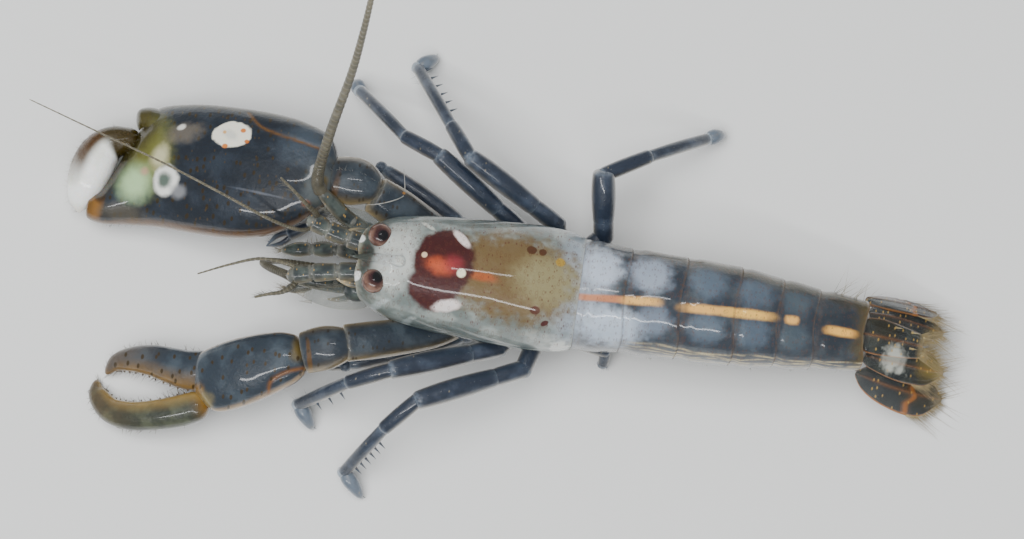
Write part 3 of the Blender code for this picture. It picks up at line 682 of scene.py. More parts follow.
class Look(Enum):
    """Every finish by the pieces it is for."""

    SHIELD = ShellFinish(
        "head shield", (120, 130, 127), (154, 162, 157), 0.5, 1.7,
        spots=(
            Spot((5.62, 0.0, 3.5), (0.62, 1.70, 2.0), (176, 186, 198), 0.75, 0.0, 0.5, 1.0),
            Spot((0.34, 0.02, 3.3), (0.34, 1.20, 0.8), (72, 80, 74), 0.85, 0.0, 0.4, 1.2),
            Spot((1.00, 0.02, 3.6), (0.56, 0.80, 0.9), (198, 201, 196), 0.9, 0.10, 0.45, 0.6),
            Spot((3.95, -0.06, 3.6), (1.62, 1.12, 1.5), (116, 94, 52), 0.92, 0.08, 0.30, 1.0),
            Spot((4.80, -0.05, 3.6), (0.80, 0.60, 1.0), (156, 150, 114), 0.75, 0.08, 0.50, 0.8),
            Spot((3.20, -0.18, 3.8), (0.34, 0.10, 0.6), (190, 92, 36), 0.65, 0.05, 0.7, 1.0),
            Spot((2.22, 0.06, 3.6), (0.76, 0.84, 1.2), (72, 27, 27), 1.0, 0.15, 0.10, 0.35),
            Spot((2.02, -0.62, 3.6), (0.62, 0.52, 1.2), (74, 29, 29), 1.0, 0.30, 0.12, 0.35),
            Spot((2.13, -0.06, 3.8), (0.30, 0.18, 0.6), (196, 96, 58), 0.95, 0.2, 0.8, 0.8),
            Spot((2.46, 0.02, 3.8), (0.22, 0.20, 0.6), (160, 58, 66), 0.7, 0.0, 0.8, 0.6),
            Spot((1.72, 0.17, 3.7), (0.07, 0.07, 0.5), (232, 206, 176), 0.9, ragged=0.2),
            Spot((2.68, -0.17, 3.8), (0.11, 0.11, 0.5), (250, 244, 214), 1.0, ragged=0.2),
            Spot((2.58, 0.70, 3.6), (0.30, 0.10, 0.5), (240, 226, 222), 0.95, 0.75, 0.3, 0.5),
            Spot((2.42, -0.98, 3.5), (0.34, 0.14, 0.5), (240, 228, 224), 0.95, -0.25, 0.3, 0.6),
            Spot((0.24, 0.02, 3.3), (0.26, 0.34, 0.6), (42, 48, 42), 0.9, 0.0, 0.4, 1.6),
            Spot((0.07, 0.45, 3.1), (0.15, 0.12, 0.5), (250, 250, 246), 0.95, 0.6, 0.15, 0.9),
            Spot((0.09, -0.51, 3.1), (0.16, 0.12, 0.5), (250, 250, 246), 0.95, -0.6, 0.15, 0.9),
            # Painted highlights: two pale streaks and a bright patch along the lower left margin stand for
            # the gleam of the wet shell.
            Spot((0.67, -1.16, 2.7), (0.46, 0.07, 0.6), (196, 206, 206), 0.7, -0.55, 0.5, 2.0),
            Spot((1.36, -1.46, 2.6), (0.50, 0.05, 0.6), (196, 206, 204), 0.7, -0.45, 0.5, 2.0),
            Spot((5.36, -1.50, 2.4), (0.44, 0.13, 0.6), (232, 232, 224), 0.95, 0.25, 0.3, 1.8),
            Spot((4.83, -1.32, 2.6), (0.60, 0.20, 0.6), (190, 194, 190), 0.7, 0.10, 0.5, 1.0),
            Spot((1.76, 0.91, 3.2), (0.22, 0.05, 0.5), (214, 216, 206), 0.7, 0.5, 0.3, 1.2),
            Spot((4.33, 0.67, 3.7), (0.13, 0.11, 0.4), (84, 50, 22), 0.95, soft=0.15, ragged=0.5),
            Spot((4.60, 0.65, 3.7), (0.10, 0.09, 0.4), (84, 50, 22), 0.95, soft=0.15, ragged=0.5),
            Spot((4.60, -0.80, 3.5), (0.13, 0.10, 0.4), (90, 44, 24), 0.95, soft=0.15, ragged=0.5),
            Spot((4.88, -1.06, 3.3), (0.11, 0.06, 0.4), (80, 26, 26), 0.95, -0.5, 0.15, 0.4),
            Spot((5.06, 0.47, 3.7), (0.12, 0.11, 0.4), (176, 146, 62), 0.9, soft=0.2, ragged=0.4),
        ),
        stains_and_rims=(Stain(Mask.SEAM, (196, 186, 158), 0.5), Stain(Mask.TIP, (84, 90, 84), 0.8)),
        dots=(Dots((104, 60, 40), 8.0, 0.30, 0.8, 0.32, 1.0), Dots((96, 42, 34), 9.0, 0.17, 0.3, 0.6)),
        deep=0.3,
    )
    ABDOMEN = ShellFinish(
        "abdomen", (58, 66, 76), (86, 93, 98), 0.42, 1.5,
        spots=(
            Spot((5.60, 0.0, 3.4), (0.70, 1.50, 2.0), (172, 180, 190), 0.75, 0.0, 0.5, 0.8),
            Spot((6.10, 0.50, 3.3), (0.50, 0.48, 0.9), (194, 204, 218), 0.9, 0.0, 0.4, 0.7),
            Spot((6.50, -0.84, 3.0), (0.78, 0.46, 0.9), (190, 202, 216), 0.95, 0.0, 0.4, 0.7),
            Spot((7.30, 0.50, 3.3), (0.52, 0.44, 0.9), (170, 181, 196), 0.8, 0.0, 0.4, 0.8),
            Spot((7.50, -0.62, 3.2), (0.44, 0.38, 0.9), (140, 154, 172), 0.6, 0.0, 0.45, 0.9),
            Spot((8.75, 0.52, 3.3), (0.46, 0.40, 0.9), (116, 132, 148), 0.6, 0.0, 0.5, 0.9),
            Spot((8.85, -0.60, 3.2), (0.42, 0.38, 0.9), (114, 130, 146), 0.6, 0.0, 0.5, 0.9),
            Spot((9.95, 0.48, 3.1), (0.44, 0.38, 0.9), (106, 122, 138), 0.6, 0.0, 0.5, 0.9),
            Spot((10.0, -0.55, 3.0), (0.40, 0.36, 0.9), (106, 122, 138), 0.6, 0.0, 0.5, 0.9),
            Spot((11.0, 0.44, 2.9), (0.36, 0.36, 0.9), (90, 104, 114), 0.6, 0.0, 0.5, 0.9),
            Spot((11.05, -0.50, 2.8), (0.34, 0.34, 0.9), (90, 104, 114), 0.6, 0.0, 0.5, 0.9),
            Spot((12.80, 0.10, 2.4), (0.30, 1.10, 1.4), (96, 84, 46), 0.75, 0.0, 0.5, 2.0),
            Spot((12.45, 0.72, 2.2), (0.60, 0.26, 0.9), (88, 76, 40), 0.7, 0.1, 0.5, 1.8),
            Spot((9.90, 1.06, 2.6), (4.00, 0.28, 1.3), (64, 58, 34), 0.85, 0.09, 0.5, 1.0),
            Spot((12.10, 0.00, 2.6), (0.55, 0.75, 1.0), (42, 50, 58), 0.6, 0.0, 0.5, 0.8),
            Spot((6.31, -0.25, 3.4), (0.80, 0.085, 0.8), (206, 138, 96), 0.9, -0.07, 0.4, 0.3, 0.6),
            Spot((7.16, -0.19, 3.4), (0.45, 0.100, 0.8), (248, 196, 118), 0.95, -0.07, 0.5, 0.5, 0.6),
            Spot((8.80, -0.17, 3.3), (0.60, 0.108, 0.8), (240, 188, 110), 1.0, -0.05, 0.5, 0.5, 0.6),
            Spot((9.84, -0.11, 3.2), (0.58, 0.108, 0.8), (250, 198, 106), 1.0, -0.05, 0.5, 0.5, 0.6),
            Spot((10.93, -0.07, 3.1), (0.16, 0.100, 0.8), (248, 192, 110), 1.0, -0.05, 0.5, 0.4, 0.5),
            Spot((12.18, -0.15, 2.9), (0.36, 0.105, 0.8), (252, 194, 100), 1.0, 0.0, 0.5, 0.5, 0.6),
        ),
        stains_and_rims=(
            Stain(Mask.SEAM, (116, 88, 62), 0.4, 9.0, 0.8), Stain(Mask.FLANK, (214, 190, 134), 0.9),
            Stain(Mask.TIP, (210, 194, 150), 0.9, 3.4, 0.95),
        ),
        dots=(Dots((104, 66, 44), 11.0, 0.22, 0.5, 0.32), Dots((112, 78, 54), 8.0, 0.28, 0.5, 0.25, 1.0)),
        deep=0.3,
    )
    CORE = ShellFinish("flesh under the shell", (92, 84, 72), (128, 118, 100), 0.5, 2.2)
    EYE = ShellFinish(
        "eye", (138, 108, 94), (98, 72, 64), 0.5, 5.0,
        spots=(
            Spot((0.60, 0.54, 3.5), (0.21, 0.21, 0.5), (62, 34, 36), 1.0, soft=0.4, ragged=0.2),
            Spot((0.61, -0.54, 3.5), (0.21, 0.21, 0.5), (62, 34, 36), 1.0, soft=0.4, ragged=0.2),
            Spot((0.64, 0.53, 3.5), (0.13, 0.13, 0.5), (8, 8, 16), 1.0, soft=0.2, ragged=0.1),
            Spot((0.65, -0.51, 3.5), (0.13, 0.14, 0.5), (8, 8, 14), 1.0, soft=0.2, ragged=0.1),
        ),
        roughness=0.2, relief=0.0,
    )
    BIG_PALM = ShellFinish(
        "great claw", (31, 40, 51), (48, 58, 70), 0.4, 1.5,
        spots=(
            Spot((-5.52, 2.10, 1.6), (0.56, 0.90, 1.0), (140, 142, 66), 0.75, -0.15, 0.6, 0.8),
            Spot((-5.80, 2.80, 1.1), (0.36, 0.80, 1.2), (78, 70, 22), 0.95, -0.10, 1.0, 0.8),
            Spot((-4.69, 2.60, 2.1), (0.46, 0.22, 0.8), (132, 124, 112), 0.6, -0.3, 0.6, 1.2),
            Spot((-6.74, 0.54, 1.0), (0.21, 0.42, 0.9), (168, 118, 44), 0.95, 0.1, 0.65, 0.8),
            Spot((-6.58, 0.86, 1.0), (0.13, 0.16, 0.6), (52, 24, 14), 0.85, 0.0, 0.5, 0.5),
            Spot((-5.78, 1.25, 1.8), (0.42, 0.44, 0.9), (186, 216, 168), 0.95, 0.0, 0.6, 0.4),
            Spot((-5.21, 1.97, 2.1), (0.22, 0.32, 0.7), (218, 214, 178), 0.8, 0.2, 0.5, 0.5),
            Spot((-3.48, 2.68, 2.5), (0.50, 0.34, 0.7), (248, 245, 230), 1.0, -0.10, 0.08, 0.35),
            Spot((-3.52, 2.66, 2.5), (0.20, 0.12, 0.5), (206, 208, 204), 0.6, 0.4, 0.5, 1.6),
            Spot((-3.20, 2.80, 2.5), (0.07, 0.06, 0.4), (216, 128, 30), 0.95, ragged=0.2),
            Spot((-3.60, 2.36, 2.6), (0.08, 0.06, 0.4), (216, 128, 30), 0.95, ragged=0.2),
            Spot((-3.07, 2.52, 2.6), (0.06, 0.05, 0.4), (200, 116, 34), 0.95, ragged=0.2),
            Spot((-3.66, 2.72, 2.5), (0.05, 0.05, 0.4), (226, 176, 110), 0.9, ragged=0.2),
            Spot((-4.77, 2.76, 2.2), (0.13, 0.08, 0.5), (232, 230, 222), 0.9, -0.5, 0.3, 0.5),
            Spot((-5.00, 1.35, 2.2), (0.36, 0.44, 0.7), (240, 242, 236), 1.0, 0.1, 0.16, 0.3),
            Spot((-5.02, 1.38, 2.2), (0.20, 0.23, 0.6), (84, 104, 92), 0.95, 0.0, 0.35, 0.5),
            Spot((-4.62, 1.12, 2.2), (0.20, 0.18, 0.6), (150, 152, 156), 0.8, 0.0, 0.5, 0.5),
            Spot((-5.55, 1.56, 2.0), (0.13, 0.12, 0.5), (206, 158, 140), 0.8, 0.0, 0.5, 0.4),
            Spot((-2.58, 1.27, 2.5), (0.66, 0.030, 0.5), (116, 122, 134), 0.55, 0.1, 0.6, 0.5),
            Spot((-1.10, 1.60, 2.9), (0.36, 0.60, 0.7), (116, 124, 124), 0.7, 0.0, 0.6, 1.2),
            Spot((-1.60, 2.60, 2.6), (0.62, 0.50, 0.9), (82, 94, 106), 0.7, 0.0, 0.6, 1.2),
            Spot((-6.00, 0.50, 1.3), (0.60, 0.20, 0.8), (104, 98, 84), 0.6, 0.0, 0.6, 1.0),
            Spot((-1.05, 1.74, 2.9), (0.12, 0.14, 0.5), (132, 112, 52), 0.8, 0.0, 0.5, 0.8),
            Spot((-1.38, 1.16, 2.8), (0.10, 0.08, 0.6), (156, 96, 54), 0.7, 0.0, 0.6, 0.8),
        ),
        stains_and_rims=(
            Stain(Mask.FLANK, (76, 70, 42), 0.85, 5.0, 0.3),
            Stain(Mask.JOINT, (132, 100, 66), 0.85, 5.0, 0.3),
            Stain(Mask.SEAM, (126, 88, 32), 0.95, 9.0, 0.15), Stain(Mask.TIP, (60, 52, 14), 1.0, 4.0, 0.10),
        ),
        dots_below=(Dots((52, 40, 8), 4.4, 0.19, 0.7, 0.95), Dots((84, 66, 28), 7.0, 0.16, 0.3, 0.6)),
        clear=0.12,
    )
    BIG_FINGER = ShellFinish(
        "great claw's finger", (250, 252, 248), (236, 238, 230), 0.4, 1.8,
        stains_and_rims=(
            Stain(Mask.FLANK, (82, 56, 20), 1.0, 3.0, 0.05), Stain(Mask.JOINT, (66, 54, 12), 1.0, 3.0, 0.05),
            Stain(Mask.TIP, (200, 176, 140), 0.4, 5.0, 0.2),
        ),
        roughness=0.28, deep=0.3,
    )
    SMALL_PALM = ShellFinish(
        "lesser claw", (52, 63, 74), (76, 88, 98), 0.45, 1.7,
        spots=(
            Spot((-3.55, -3.89, 1.3), (0.20, 0.40, 0.9), (140, 104, 34), 0.9, 0.5, 0.4, 0.8),
            Spot((-3.28, -4.02, 1.3), (0.26, 0.30, 0.9), (164, 148, 96), 0.75, 0.3, 0.5, 1.0),
            Spot((-1.02, -2.36, 2.1), (0.20, 0.34, 0.8), (122, 104, 50), 0.80, 0.2, 0.6, 1.0),
            Spot((-0.84, -2.57, 2.1), (0.06, 0.50, 0.8), (112, 80, 26), 0.95, -0.25, 0.3, 0.5),
        ),
        stains_and_rims=(
            Stain(Mask.FLANK, (166, 132, 72), 0.85, 5.0, 0.35),
            Stain(Mask.JOINT, (184, 150, 100), 0.9, 5.0, 0.3),
            Stain(Mask.SEAM, (140, 92, 34), 0.9, 9.0, 0.15), Stain(Mask.TIP, (140, 108, 52), 0.7, 5.0, 0.25),
        ),
        dots=(Dots((66, 50, 12), 4.4, 0.17, 0.65, 0.9),), clear=0.15, sheen=0.15,
    )
    SMALL_FINGER = ShellFinish(
        "lesser claw's fingers", (60, 65, 54), (90, 95, 76), 0.45, 2.4,
        stains_and_rims=(Stain(Mask.JOINT, (150, 112, 36), 0.9, 5.0, 0.2), Stain(Mask.TIP, (150, 122, 86), 0.6),
                Stain(Mask.FLANK, (186, 156, 92), 0.95, 6.0, 0.2)),
        clear=0.15,
    )
    ARM = ShellFinish(
        "arms and wrists", (49, 60, 71), (73, 84, 93), 0.45, 1.8,
        spots=(
            Spot((0.98, 1.80, 2.3), (0.035, 0.035, 0.6), (200, 140, 60), 0.85, 0.0, 0.5),
            Spot((-0.77, -2.57, 2.0), (0.07, 0.52, 0.8), (104, 74, 30), 0.95, -0.25, 0.3, 0.6),
            Spot((-0.71, 1.69, 2.4), (0.10, 0.40, 0.8), (96, 70, 40), 0.8, 0.1, 0.4, 0.8),
        ),
        # The flank stain is a painted pale rim, the light that the edges of the clear arms and wrists catch.
        stains_and_rims=(Stain(Mask.FLANK, (198, 172, 116), 0.85, 5.0, 0.35),
                Stain(Mask.JOINT, (166, 160, 142), 0.5, 10.0, 0.6), Stain(Mask.SEAM, (88, 52, 30), 0.9),
                Stain(Mask.TIP, (206, 204, 196), 0.8)),
        dots=(Dots((54, 42, 16), 6.0, 0.20, 0.4, 0.7),), clear=0.25, sheen=0.2,
    )
    LEG = ShellFinish(
        "walking legs", (51, 62, 79), (77, 89, 107), 0.4, 2.0,
        # The flank stain is a painted pale rim, the light that the edges of the clear legs catch.
        stains_and_rims=(Stain(Mask.FLANK, (196, 184, 162), 0.7, 6.0, 0.2),
                Stain(Mask.JOINT, (150, 162, 176), 0.8, 12.0, 0.7),
                Stain(Mask.TIP, (128, 140, 154), 1.0, 5.0, 0.3),
                Stain(Mask.SEAM, (196, 208, 218), 0.9, 6.0, 0.2)),
        dots=(Dots((196, 184, 152), 9.0, 0.16, 0.14, 0.4),), clear=0.30, sheen=0.3,
    )
    MOUTH = ShellFinish(
        "mouth legs and feeler bases", (52, 60, 62), (86, 95, 91), 0.45, 3.0,
        # The flank stain is a painted pale rim, the light that the edges of the clear shell catch.
        stains_and_rims=(Stain(Mask.FLANK, (168, 156, 128), 0.6), Stain(Mask.JOINT, (176, 174, 162), 0.6, 9.0, 0.5),
                Stain(Mask.TIP, (206, 188, 150), 0.8)),
        dots=(Dots((196, 160, 92), 10.0, 0.18, 0.35, 0.6),),
    )
    FEELER = ShellFinish(
        "feelers", (66, 64, 54), (98, 94, 80), 0.5, 3.0,
        stains_and_rims=(Stain(Mask.JOINT, (160, 153, 130), 0.6, 9.0, 0.1), Stain(Mask.TIP, (140, 134, 114), 0.7)),
        relief=0.01, alpha=0.85,
    )
    FIN = ShellFinish(
        "fins", (46, 54, 57), (74, 79, 74), 0.5, 2.2,
        spots=(
            Spot((14.76, -0.22, 1.2), (0.48, 0.74, 1.2), (140, 122, 58), 0.9, 0.0, 0.45, 0.6),
            Spot((14.56, -1.13, 0.5), (0.62, 0.40, 0.9), (62, 60, 48), 0.8, 0.0, 0.5, 0.6),
            Spot((13.62, -0.49, 1.7), (0.36, 0.30, 0.6), (218, 220, 210), 0.85, 0.6, 0.4, 2.0),
            Spot((13.30, 0.25, 2.0), (0.50, 0.40, 0.7), (56, 52, 34), 0.7, 0.0, 0.5, 1.2),
        ),
        stains_and_rims=(Stain(Mask.FLANK, (196, 130, 50), 0.95, 5.0, 0.15),
                Stain(Mask.SEAM, (180, 116, 48), 0.95, 8.0, 0.2), Stain(Mask.TIP, (222, 200, 150), 0.85)),
        dots=(Dots((220, 180, 92), 8.0, 0.18, 0.4, 0.6),), alpha=0.72,
    )
    PALE_FIN = ShellFinish(
        "swimmerets and scales", (120, 124, 116), (172, 174, 164), 0.5, 2.2,
        stains_and_rims=(Stain(Mask.FLANK, (196, 178, 140), 0.7), Stain(Mask.SEAM, (150, 122, 84), 0.7),
                Stain(Mask.TIP, (214, 204, 180), 0.8)),
        alpha=0.5,
    )
    SCALE = ShellFinish(
        "feeler scales", (110, 116, 112), (150, 154, 146), 0.5, 2.2,
        stains_and_rims=(Stain(Mask.FLANK, (190, 184, 160), 0.7), Stain(Mask.TIP, (200, 194, 176), 0.8)),
        coat=0.4, alpha=0.3,
    )


class Palette:
    """The materials, each built when a piece first asks for it."""

    def __init__(self) -> None:
        """Builds the shared effects."""
        self._effects = Effects()
        self._made: dict[Look, bpy.types.Material] = {}

    def material(self, look: Look) -> bpy.types.Material:
        """The material of a look.

        Args:
            look: the look asked for.

        Returns:
            Its material.
        """
        if look not in self._made:
            self._made[look] = look.value.build(self._effects)
            LOG.info("finish: %s", look.value.name)
        return self._made[look]


@dataclass
class Part:
    """A carved piece with its look, its slot and the nodes it stands for."""

    name: str
    carving: Carving
    look: Look
    slot: str
    nodes: tuple[str, ...] = ()


class Assembly:
    """A sub-assembly of the shrimp. Its fields hold its sizes."""

    def build(self) -> list[Part]:
        """Carves the pieces."""
        raise NotImplementedError

    def dress(self, palette: Palette) -> list[bpy.types.Object]:
        """Carves the pieces and gives each its material.

        Args:
            palette: the materials.

        Returns:
            The finished objects.
        """
        return [
            part.carving.finish(part.name, palette.material(part.look), part.slot, *part.nodes)
            for part in self.build()
        ]


@dataclass(frozen=True)
class BodyForm:
    """The outline of head shield and abdomen: x, half width, top and belly."""

    rows: Knots = (
        (0.12, 0.86, 3.20, 1.72), (0.45, 1.06, 3.42, 1.48), (1.00, 1.27, 3.62, 1.28),
        (1.90, 1.41, 3.76, 1.12), (2.80, 1.47, 3.82, 1.04), (3.80, 1.53, 3.80, 1.02),
        (4.60, 1.55, 3.74, 1.06), (5.30, 1.49, 3.62, 1.18), (5.72, 1.38, 3.52, 1.34),
        (6.78, 1.29, 3.50, 1.40), (8.18, 1.26, 3.48, 1.38), (9.55, 1.22, 3.34, 1.34),
        (10.62, 1.10, 3.08, 1.30), (11.55, 1.00, 2.84, 1.28), (12.80, 0.86, 2.52, 1.42),
        (13.10, 0.80, 2.46, 1.46),
    )
    arch_share: float = 0.62    # how much of a shell's half girth is arch, the rest being its side
    sway: float = -0.06         # how far the body's midline stands off that of the snout

    def at(self, x: Array) -> Array:
        """Half width, top and belly at x, as the last axis."""
        fine = spline(self.rows, np.linspace(0.0, 1.0, 400))
        return np.stack([np.interp(x, fine[:, 0], fine[:, column]) for column in (1, 2, 3)], axis=-1)

    def skin(self, x: Array, girth: Array, drop: Array, lift: Array) -> Array:
        """Points of a shell that arches over the back and hangs down both sides.

        The arch is a squarish ellipse from the top to the widest point, and the side runs down from there to
        the belly less the drop, drawing in by the square of how far down it is.

        Args:
            x: how far back each point is.
            girth: -1 at the left lower edge, 0 on the back, 1 at the right lower edge.
            drop: how far the side hangs below the belly line.
            lift: how far each point stands off the outline.

        Returns:
            The points.
        """
        half, top, belly = np.moveaxis(self.at(x), -1, 0)
        middle = 0.45 * top + 0.55 * belly
        size = np.abs(girth)
        turn = np.clip(size / self.arch_share, 0.0, 1.0) * math.pi / 2
        down = np.clip((size - self.arch_share) / (1.0 - self.arch_share), 0.0, 1.0)
        across = half * np.sin(turn) ** 0.92 * (1.0 - 0.10 * down**2) + lift * np.sin(turn)
        height = middle + (top - middle) * np.cos(turn) ** 0.88 - (middle - belly + drop) * down
        return np.stack([x, np.sign(girth) * across + self.sway, height + lift * np.cos(turn)], axis=-1)


BODY = BodyForm()


def shell(
    front: Array, back: Array, girth: Array, drop: Array, lift: Callable[[Array, Array], Array],
    thickness: float, columns: int,
) -> tuple[Array, Array, Array]:
    """A thin shell over the body as closed loops, out along the outside and home along the inside.

    Args:
        front: where the shell starts, for each step of the girth.
        back: where it ends.
        girth: the steps from the left lower edge over the back to the right one.
        drop: how far the sides hang below the belly line, for each step.
        lift: a call that gives the outside's height above the outline from x and girth.
        thickness: how thick the shell is.
        columns: points along the outside.

    Returns:
        The rings, the girth of every point, and how far along the shell it is from 0 to 1.
    """
    along = np.concatenate([np.linspace(0.0, 1.0, columns), np.linspace(1.0, 0.0, columns)])
    outside = np.concatenate([np.ones(columns), np.zeros(columns)])[None]
    edge = np.sqrt(np.clip(1.0 - (2.0 * along - 1.0) ** 12, 0.0, 1.0))[None]
    x = front[:, None] + (back - front)[:, None] * along[None]
    full = np.ones_like(x)
    spread = girth[:, None] * full
    height = lift(x, spread) - thickness * (1.0 - outside * edge) * (0.5 + 0.5 * edge)
    return BODY.skin(x, spread, drop[:, None] * full, height), spread, along[None] * full


def near_line(points: Array, line: Knots, width: float) -> Array:
    """A bell of the distance, seen from above, between points and a smooth line."""
    track = spline(line, np.linspace(0.0, 1.0, 60))
    gap = np.linalg.norm(points[..., None, :2] - track[:, :2], axis=-1).min(axis=-1)
    return np.exp(-((gap / width) ** 2))


def segment(
    carving: Carving, path: Knots | Array, widths: tuple[float, ...], heights: tuple[float, ...],
    up: Array = UP, rows: int = 34, sides: int = 24, ends: tuple[float, float] = (0.10, 0.10),
    joint: float = 0.10, tip: float = 0.0, tip_from: float = 0.3, flank_power: float = 4.0,
    flank_side: float = 0.0,
) -> Array:
    """Adds one segment of a limb: a swelling tube with round ends.

    Args:
        carving: the piece it goes to.
        path: its middle line.
        widths: half widths read along it.
        heights: half heights read along it.
        up: the direction of the heights.
        rows: rings along it.
        sides: points in a ring.
        ends: how much of the length each end takes to round off.
        joint: how far the joint mask reaches from each end.
        tip: the value of the tip mask at the far end.
        tip_from: how far along it the tip mask begins.
        flank_power: how sharply the flank mask, on the upper half alone, keeps to the two sides.
        flank_side: 1 or -1 to paint one of the two sides alone.

    Returns:
        The rings.
    """
    share = stations(rows)
    half, tall = (swelling(sizes, share, *ends, LEAST_END) for sizes in (widths, heights))
    rings, angle = tube(spline(path, share), half, tall, sides, up)
    # The flank mask keeps to the upper half, the side seen from above: the legs', arms' and mouth legs'
    # finishes paint it as a pale rim of light, the fingers' and claws' as a coloured line.
    flank = np.abs(np.cos(angle)) ** flank_power * smooth_step(np.sin(angle), -0.30, 0.05)
    carving.add_rings(rings, {
        Mask.FLANK: flank * (np.cos(angle) * flank_side > -0.1),
        Mask.JOINT: np.maximum(hump(share, 0.0, joint), hump(share, 1.0, joint) * (1.0 - tip))[:, None],
        Mask.TIP: tip * smooth_step(share, tip_from, tip_from + 0.6)[:, None],
    })
    return rings


def knob(carving: Carving, centre: Triple | Array, radius: float) -> None:
    """Adds the round of a joint."""
    rings = ellipsoid(centre, (radius, radius, radius), 14, 20)
    carving.add_rings(rings, {Mask.JOINT: np.full(rings.shape[:2], 0.45)})


def hairs_along(
    carving: Carving, path: Knots | Array, count: int, way: Triple | Array, length: float,
    reach: tuple[float, float] = (0.1, 0.9), spread: float = 0.35, radius: float = 0.009, off: float = 0.0,
) -> None:
    """Scatters hairs along a line, all leaning about one way.

    Args:
        carving: the piece they go to.
        path: the line.
        count: how many.
        way: the way they lean.
        length: how long the longest are.
        reach: the shares of the line that carry them.
        spread: how far their directions scatter.
        radius: half their thickness.
        off: how far from the line their roots are, along the way they lean.
    """
    roots = spline(path, carving.draw.uniform(*reach, count))
    lean = unit(unit(np.asarray(way, float)) + carving.draw.normal(0.0, spread, (count, 3)))
    lengths = length * carving.draw.uniform(0.55, 1.0, count)
    carving.add_bristles(roots + lean * off, lean, lengths, radius)


@dataclass
class HeadShield(Assembly):
    """The head shield with its snout, the eyes and the flesh below."""

    back: float = 5.62
    # Where the shield begins, from the middle of the back to the lower edge.
    front: tuple[float, ...] = (0.10, 0.06, 0.10, 0.16, 0.22, 0.34, 0.62, 0.98)
    thickness: float = 0.07
    snout: Knots = ((1.30, -0.06, 3.60), (0.80, -0.05, 3.50), (0.35, -0.04, 3.36), (-0.08, -0.04, 3.18))
    eyes: dict[Side, Triple] = field(default_factory=lambda: {
        Side.RIGHT: (0.57, 0.55, 3.34), Side.LEFT: (0.56, -0.60, 3.34),
    })
    eye_radii: Triple = (0.30, 0.30, 0.22)
    rows: int = 161
    columns: int = 90

    def relief(self, x: Array, girth: Array) -> Array:
        """Height above the outline: orbits, ridges, grooves and rims, bells of x, of girth or of both."""
        size = np.abs(girth)
        fore = 1.0 - smooth_step(x, 0.6, 1.4)
        rise = 0.04 * hump(x, 0.50, 0.46) * hump(size, 0.24, 0.14)
        rise += 0.05 * hump(girth, 0.0, 0.035) * fore - 0.06 * hump(size, 0.10, 0.05) * fore
        rise -= 0.05 * hump(x, 1.18, 0.16) * hump(girth, 0.0, 0.40)
        rise -= 0.028 * hump(size, 0.60 + 0.02 * np.sin(1.7 * x), 0.012) * smooth_step(x, 0.9, 1.5)
        rise -= 0.008 * hump(x, 3.55 - 0.7 * size, 0.16) * hump(size, 0.34, 0.20)
        rise += 0.03 * smooth_step(size, 0.965, 0.99) + 0.018 * smooth_step(x, 5.46, 5.52)
        return rise + 0.008 * np.sin(2.3 * x + 4.0 * girth) * np.sin(7.0 * girth + 0.6 * x)

    def build(self) -> list[Part]:
        """Carves the shield, the flesh and the eyes."""
        plate = Carving(Seed.SHIELD)
        girth = np.linspace(-1.0, 1.0, self.rows)
        size = np.abs(girth)
        front = profile(self.front, size)
        back = self.back - 0.30 * smooth_step(size, 0.86, 1.0) - 0.10 * hump(size, 0.72, 0.05)
        rings, spread, along = shell(
            front, back, girth, np.full(self.rows, 0.02), self.relief, self.thickness, self.columns
        )
        rim = np.maximum(smooth_step(np.abs(spread), 0.97, 0.99), 0.7 * smooth_step(along, 0.985, 0.995))
        plate.add_rings(rings, {Mask.SEAM: np.maximum(rim, 0.7 * (1.0 - smooth_step(along, 0.0, 0.03)))})
        snout = segment(plate, self.snout, (0.16, 0.15, 0.10, 0.02), (0.12, 0.10, 0.08, 0.02), tip=0.6,
                        joint=0.01)
        hairs_along(plate, snout.mean(axis=1), 8, (-1.0, 0.0, 0.1), 0.16, (0.75, 1.0), 0.5)
        for sign in (1.0, -1.0):
            lower = BODY.skin(np.linspace(1.0, 5.0, 20), np.full(20, sign), np.zeros(20), np.zeros(20))
            hairs_along(plate, lower, 70, (-0.2, 0.3 * sign, -1.0), 0.14, (0.0, 1.0), 0.3, 0.006)
        parts = [Part("carapace_shell", plate, Look.SHIELD, "shield", ("carapace",)), self._flesh()]
        return parts + [self._eye(side) for side in Side]

    def _flesh(self) -> Part:
        """The body under the shells, ringed where the legs come off below."""
        flesh = Carving(Seed.FLESH)
        x = np.linspace(0.16, 13.0, 190)
        half, top, belly = BODY.at(x).T
        share = np.linspace(0.0, 1.0, len(x))
        ease = np.maximum(rounded(share, 0.05, 0.03), 0.05)
        ribs = 1.0 + 0.025 * np.cos(x * math.tau / 0.62)
        angle = ring_angles(72)
        middle = (top + belly)[:, None] / 2
        across = (half * 0.90 * ease * ribs)[:, None] * np.cos(angle) + BODY.sway
        tall = np.where(np.sin(angle) > 0, (top[:, None] - 0.13 - middle), (middle - belly[:, None] - 0.02))
        height = middle + tall * (ease * ribs)[:, None] * np.sin(angle)
        flesh.add_rings(grid(x[:, None], across, height))
        return Part("body_flesh", flesh, Look.CORE, "shield")

    def _eye(self, side: Side) -> Part:
        """One eye, a low dome that stands out of the front of the shield."""
        ball = Carving(Seed.EYE)
        ball.add_rings(ellipsoid(self.eyes[side], self.eye_radii, 40, 56))
        return Part(f"eye_{side.word}_ball", ball, Look.EYE, "eye", (f"eye_{side.word}",))


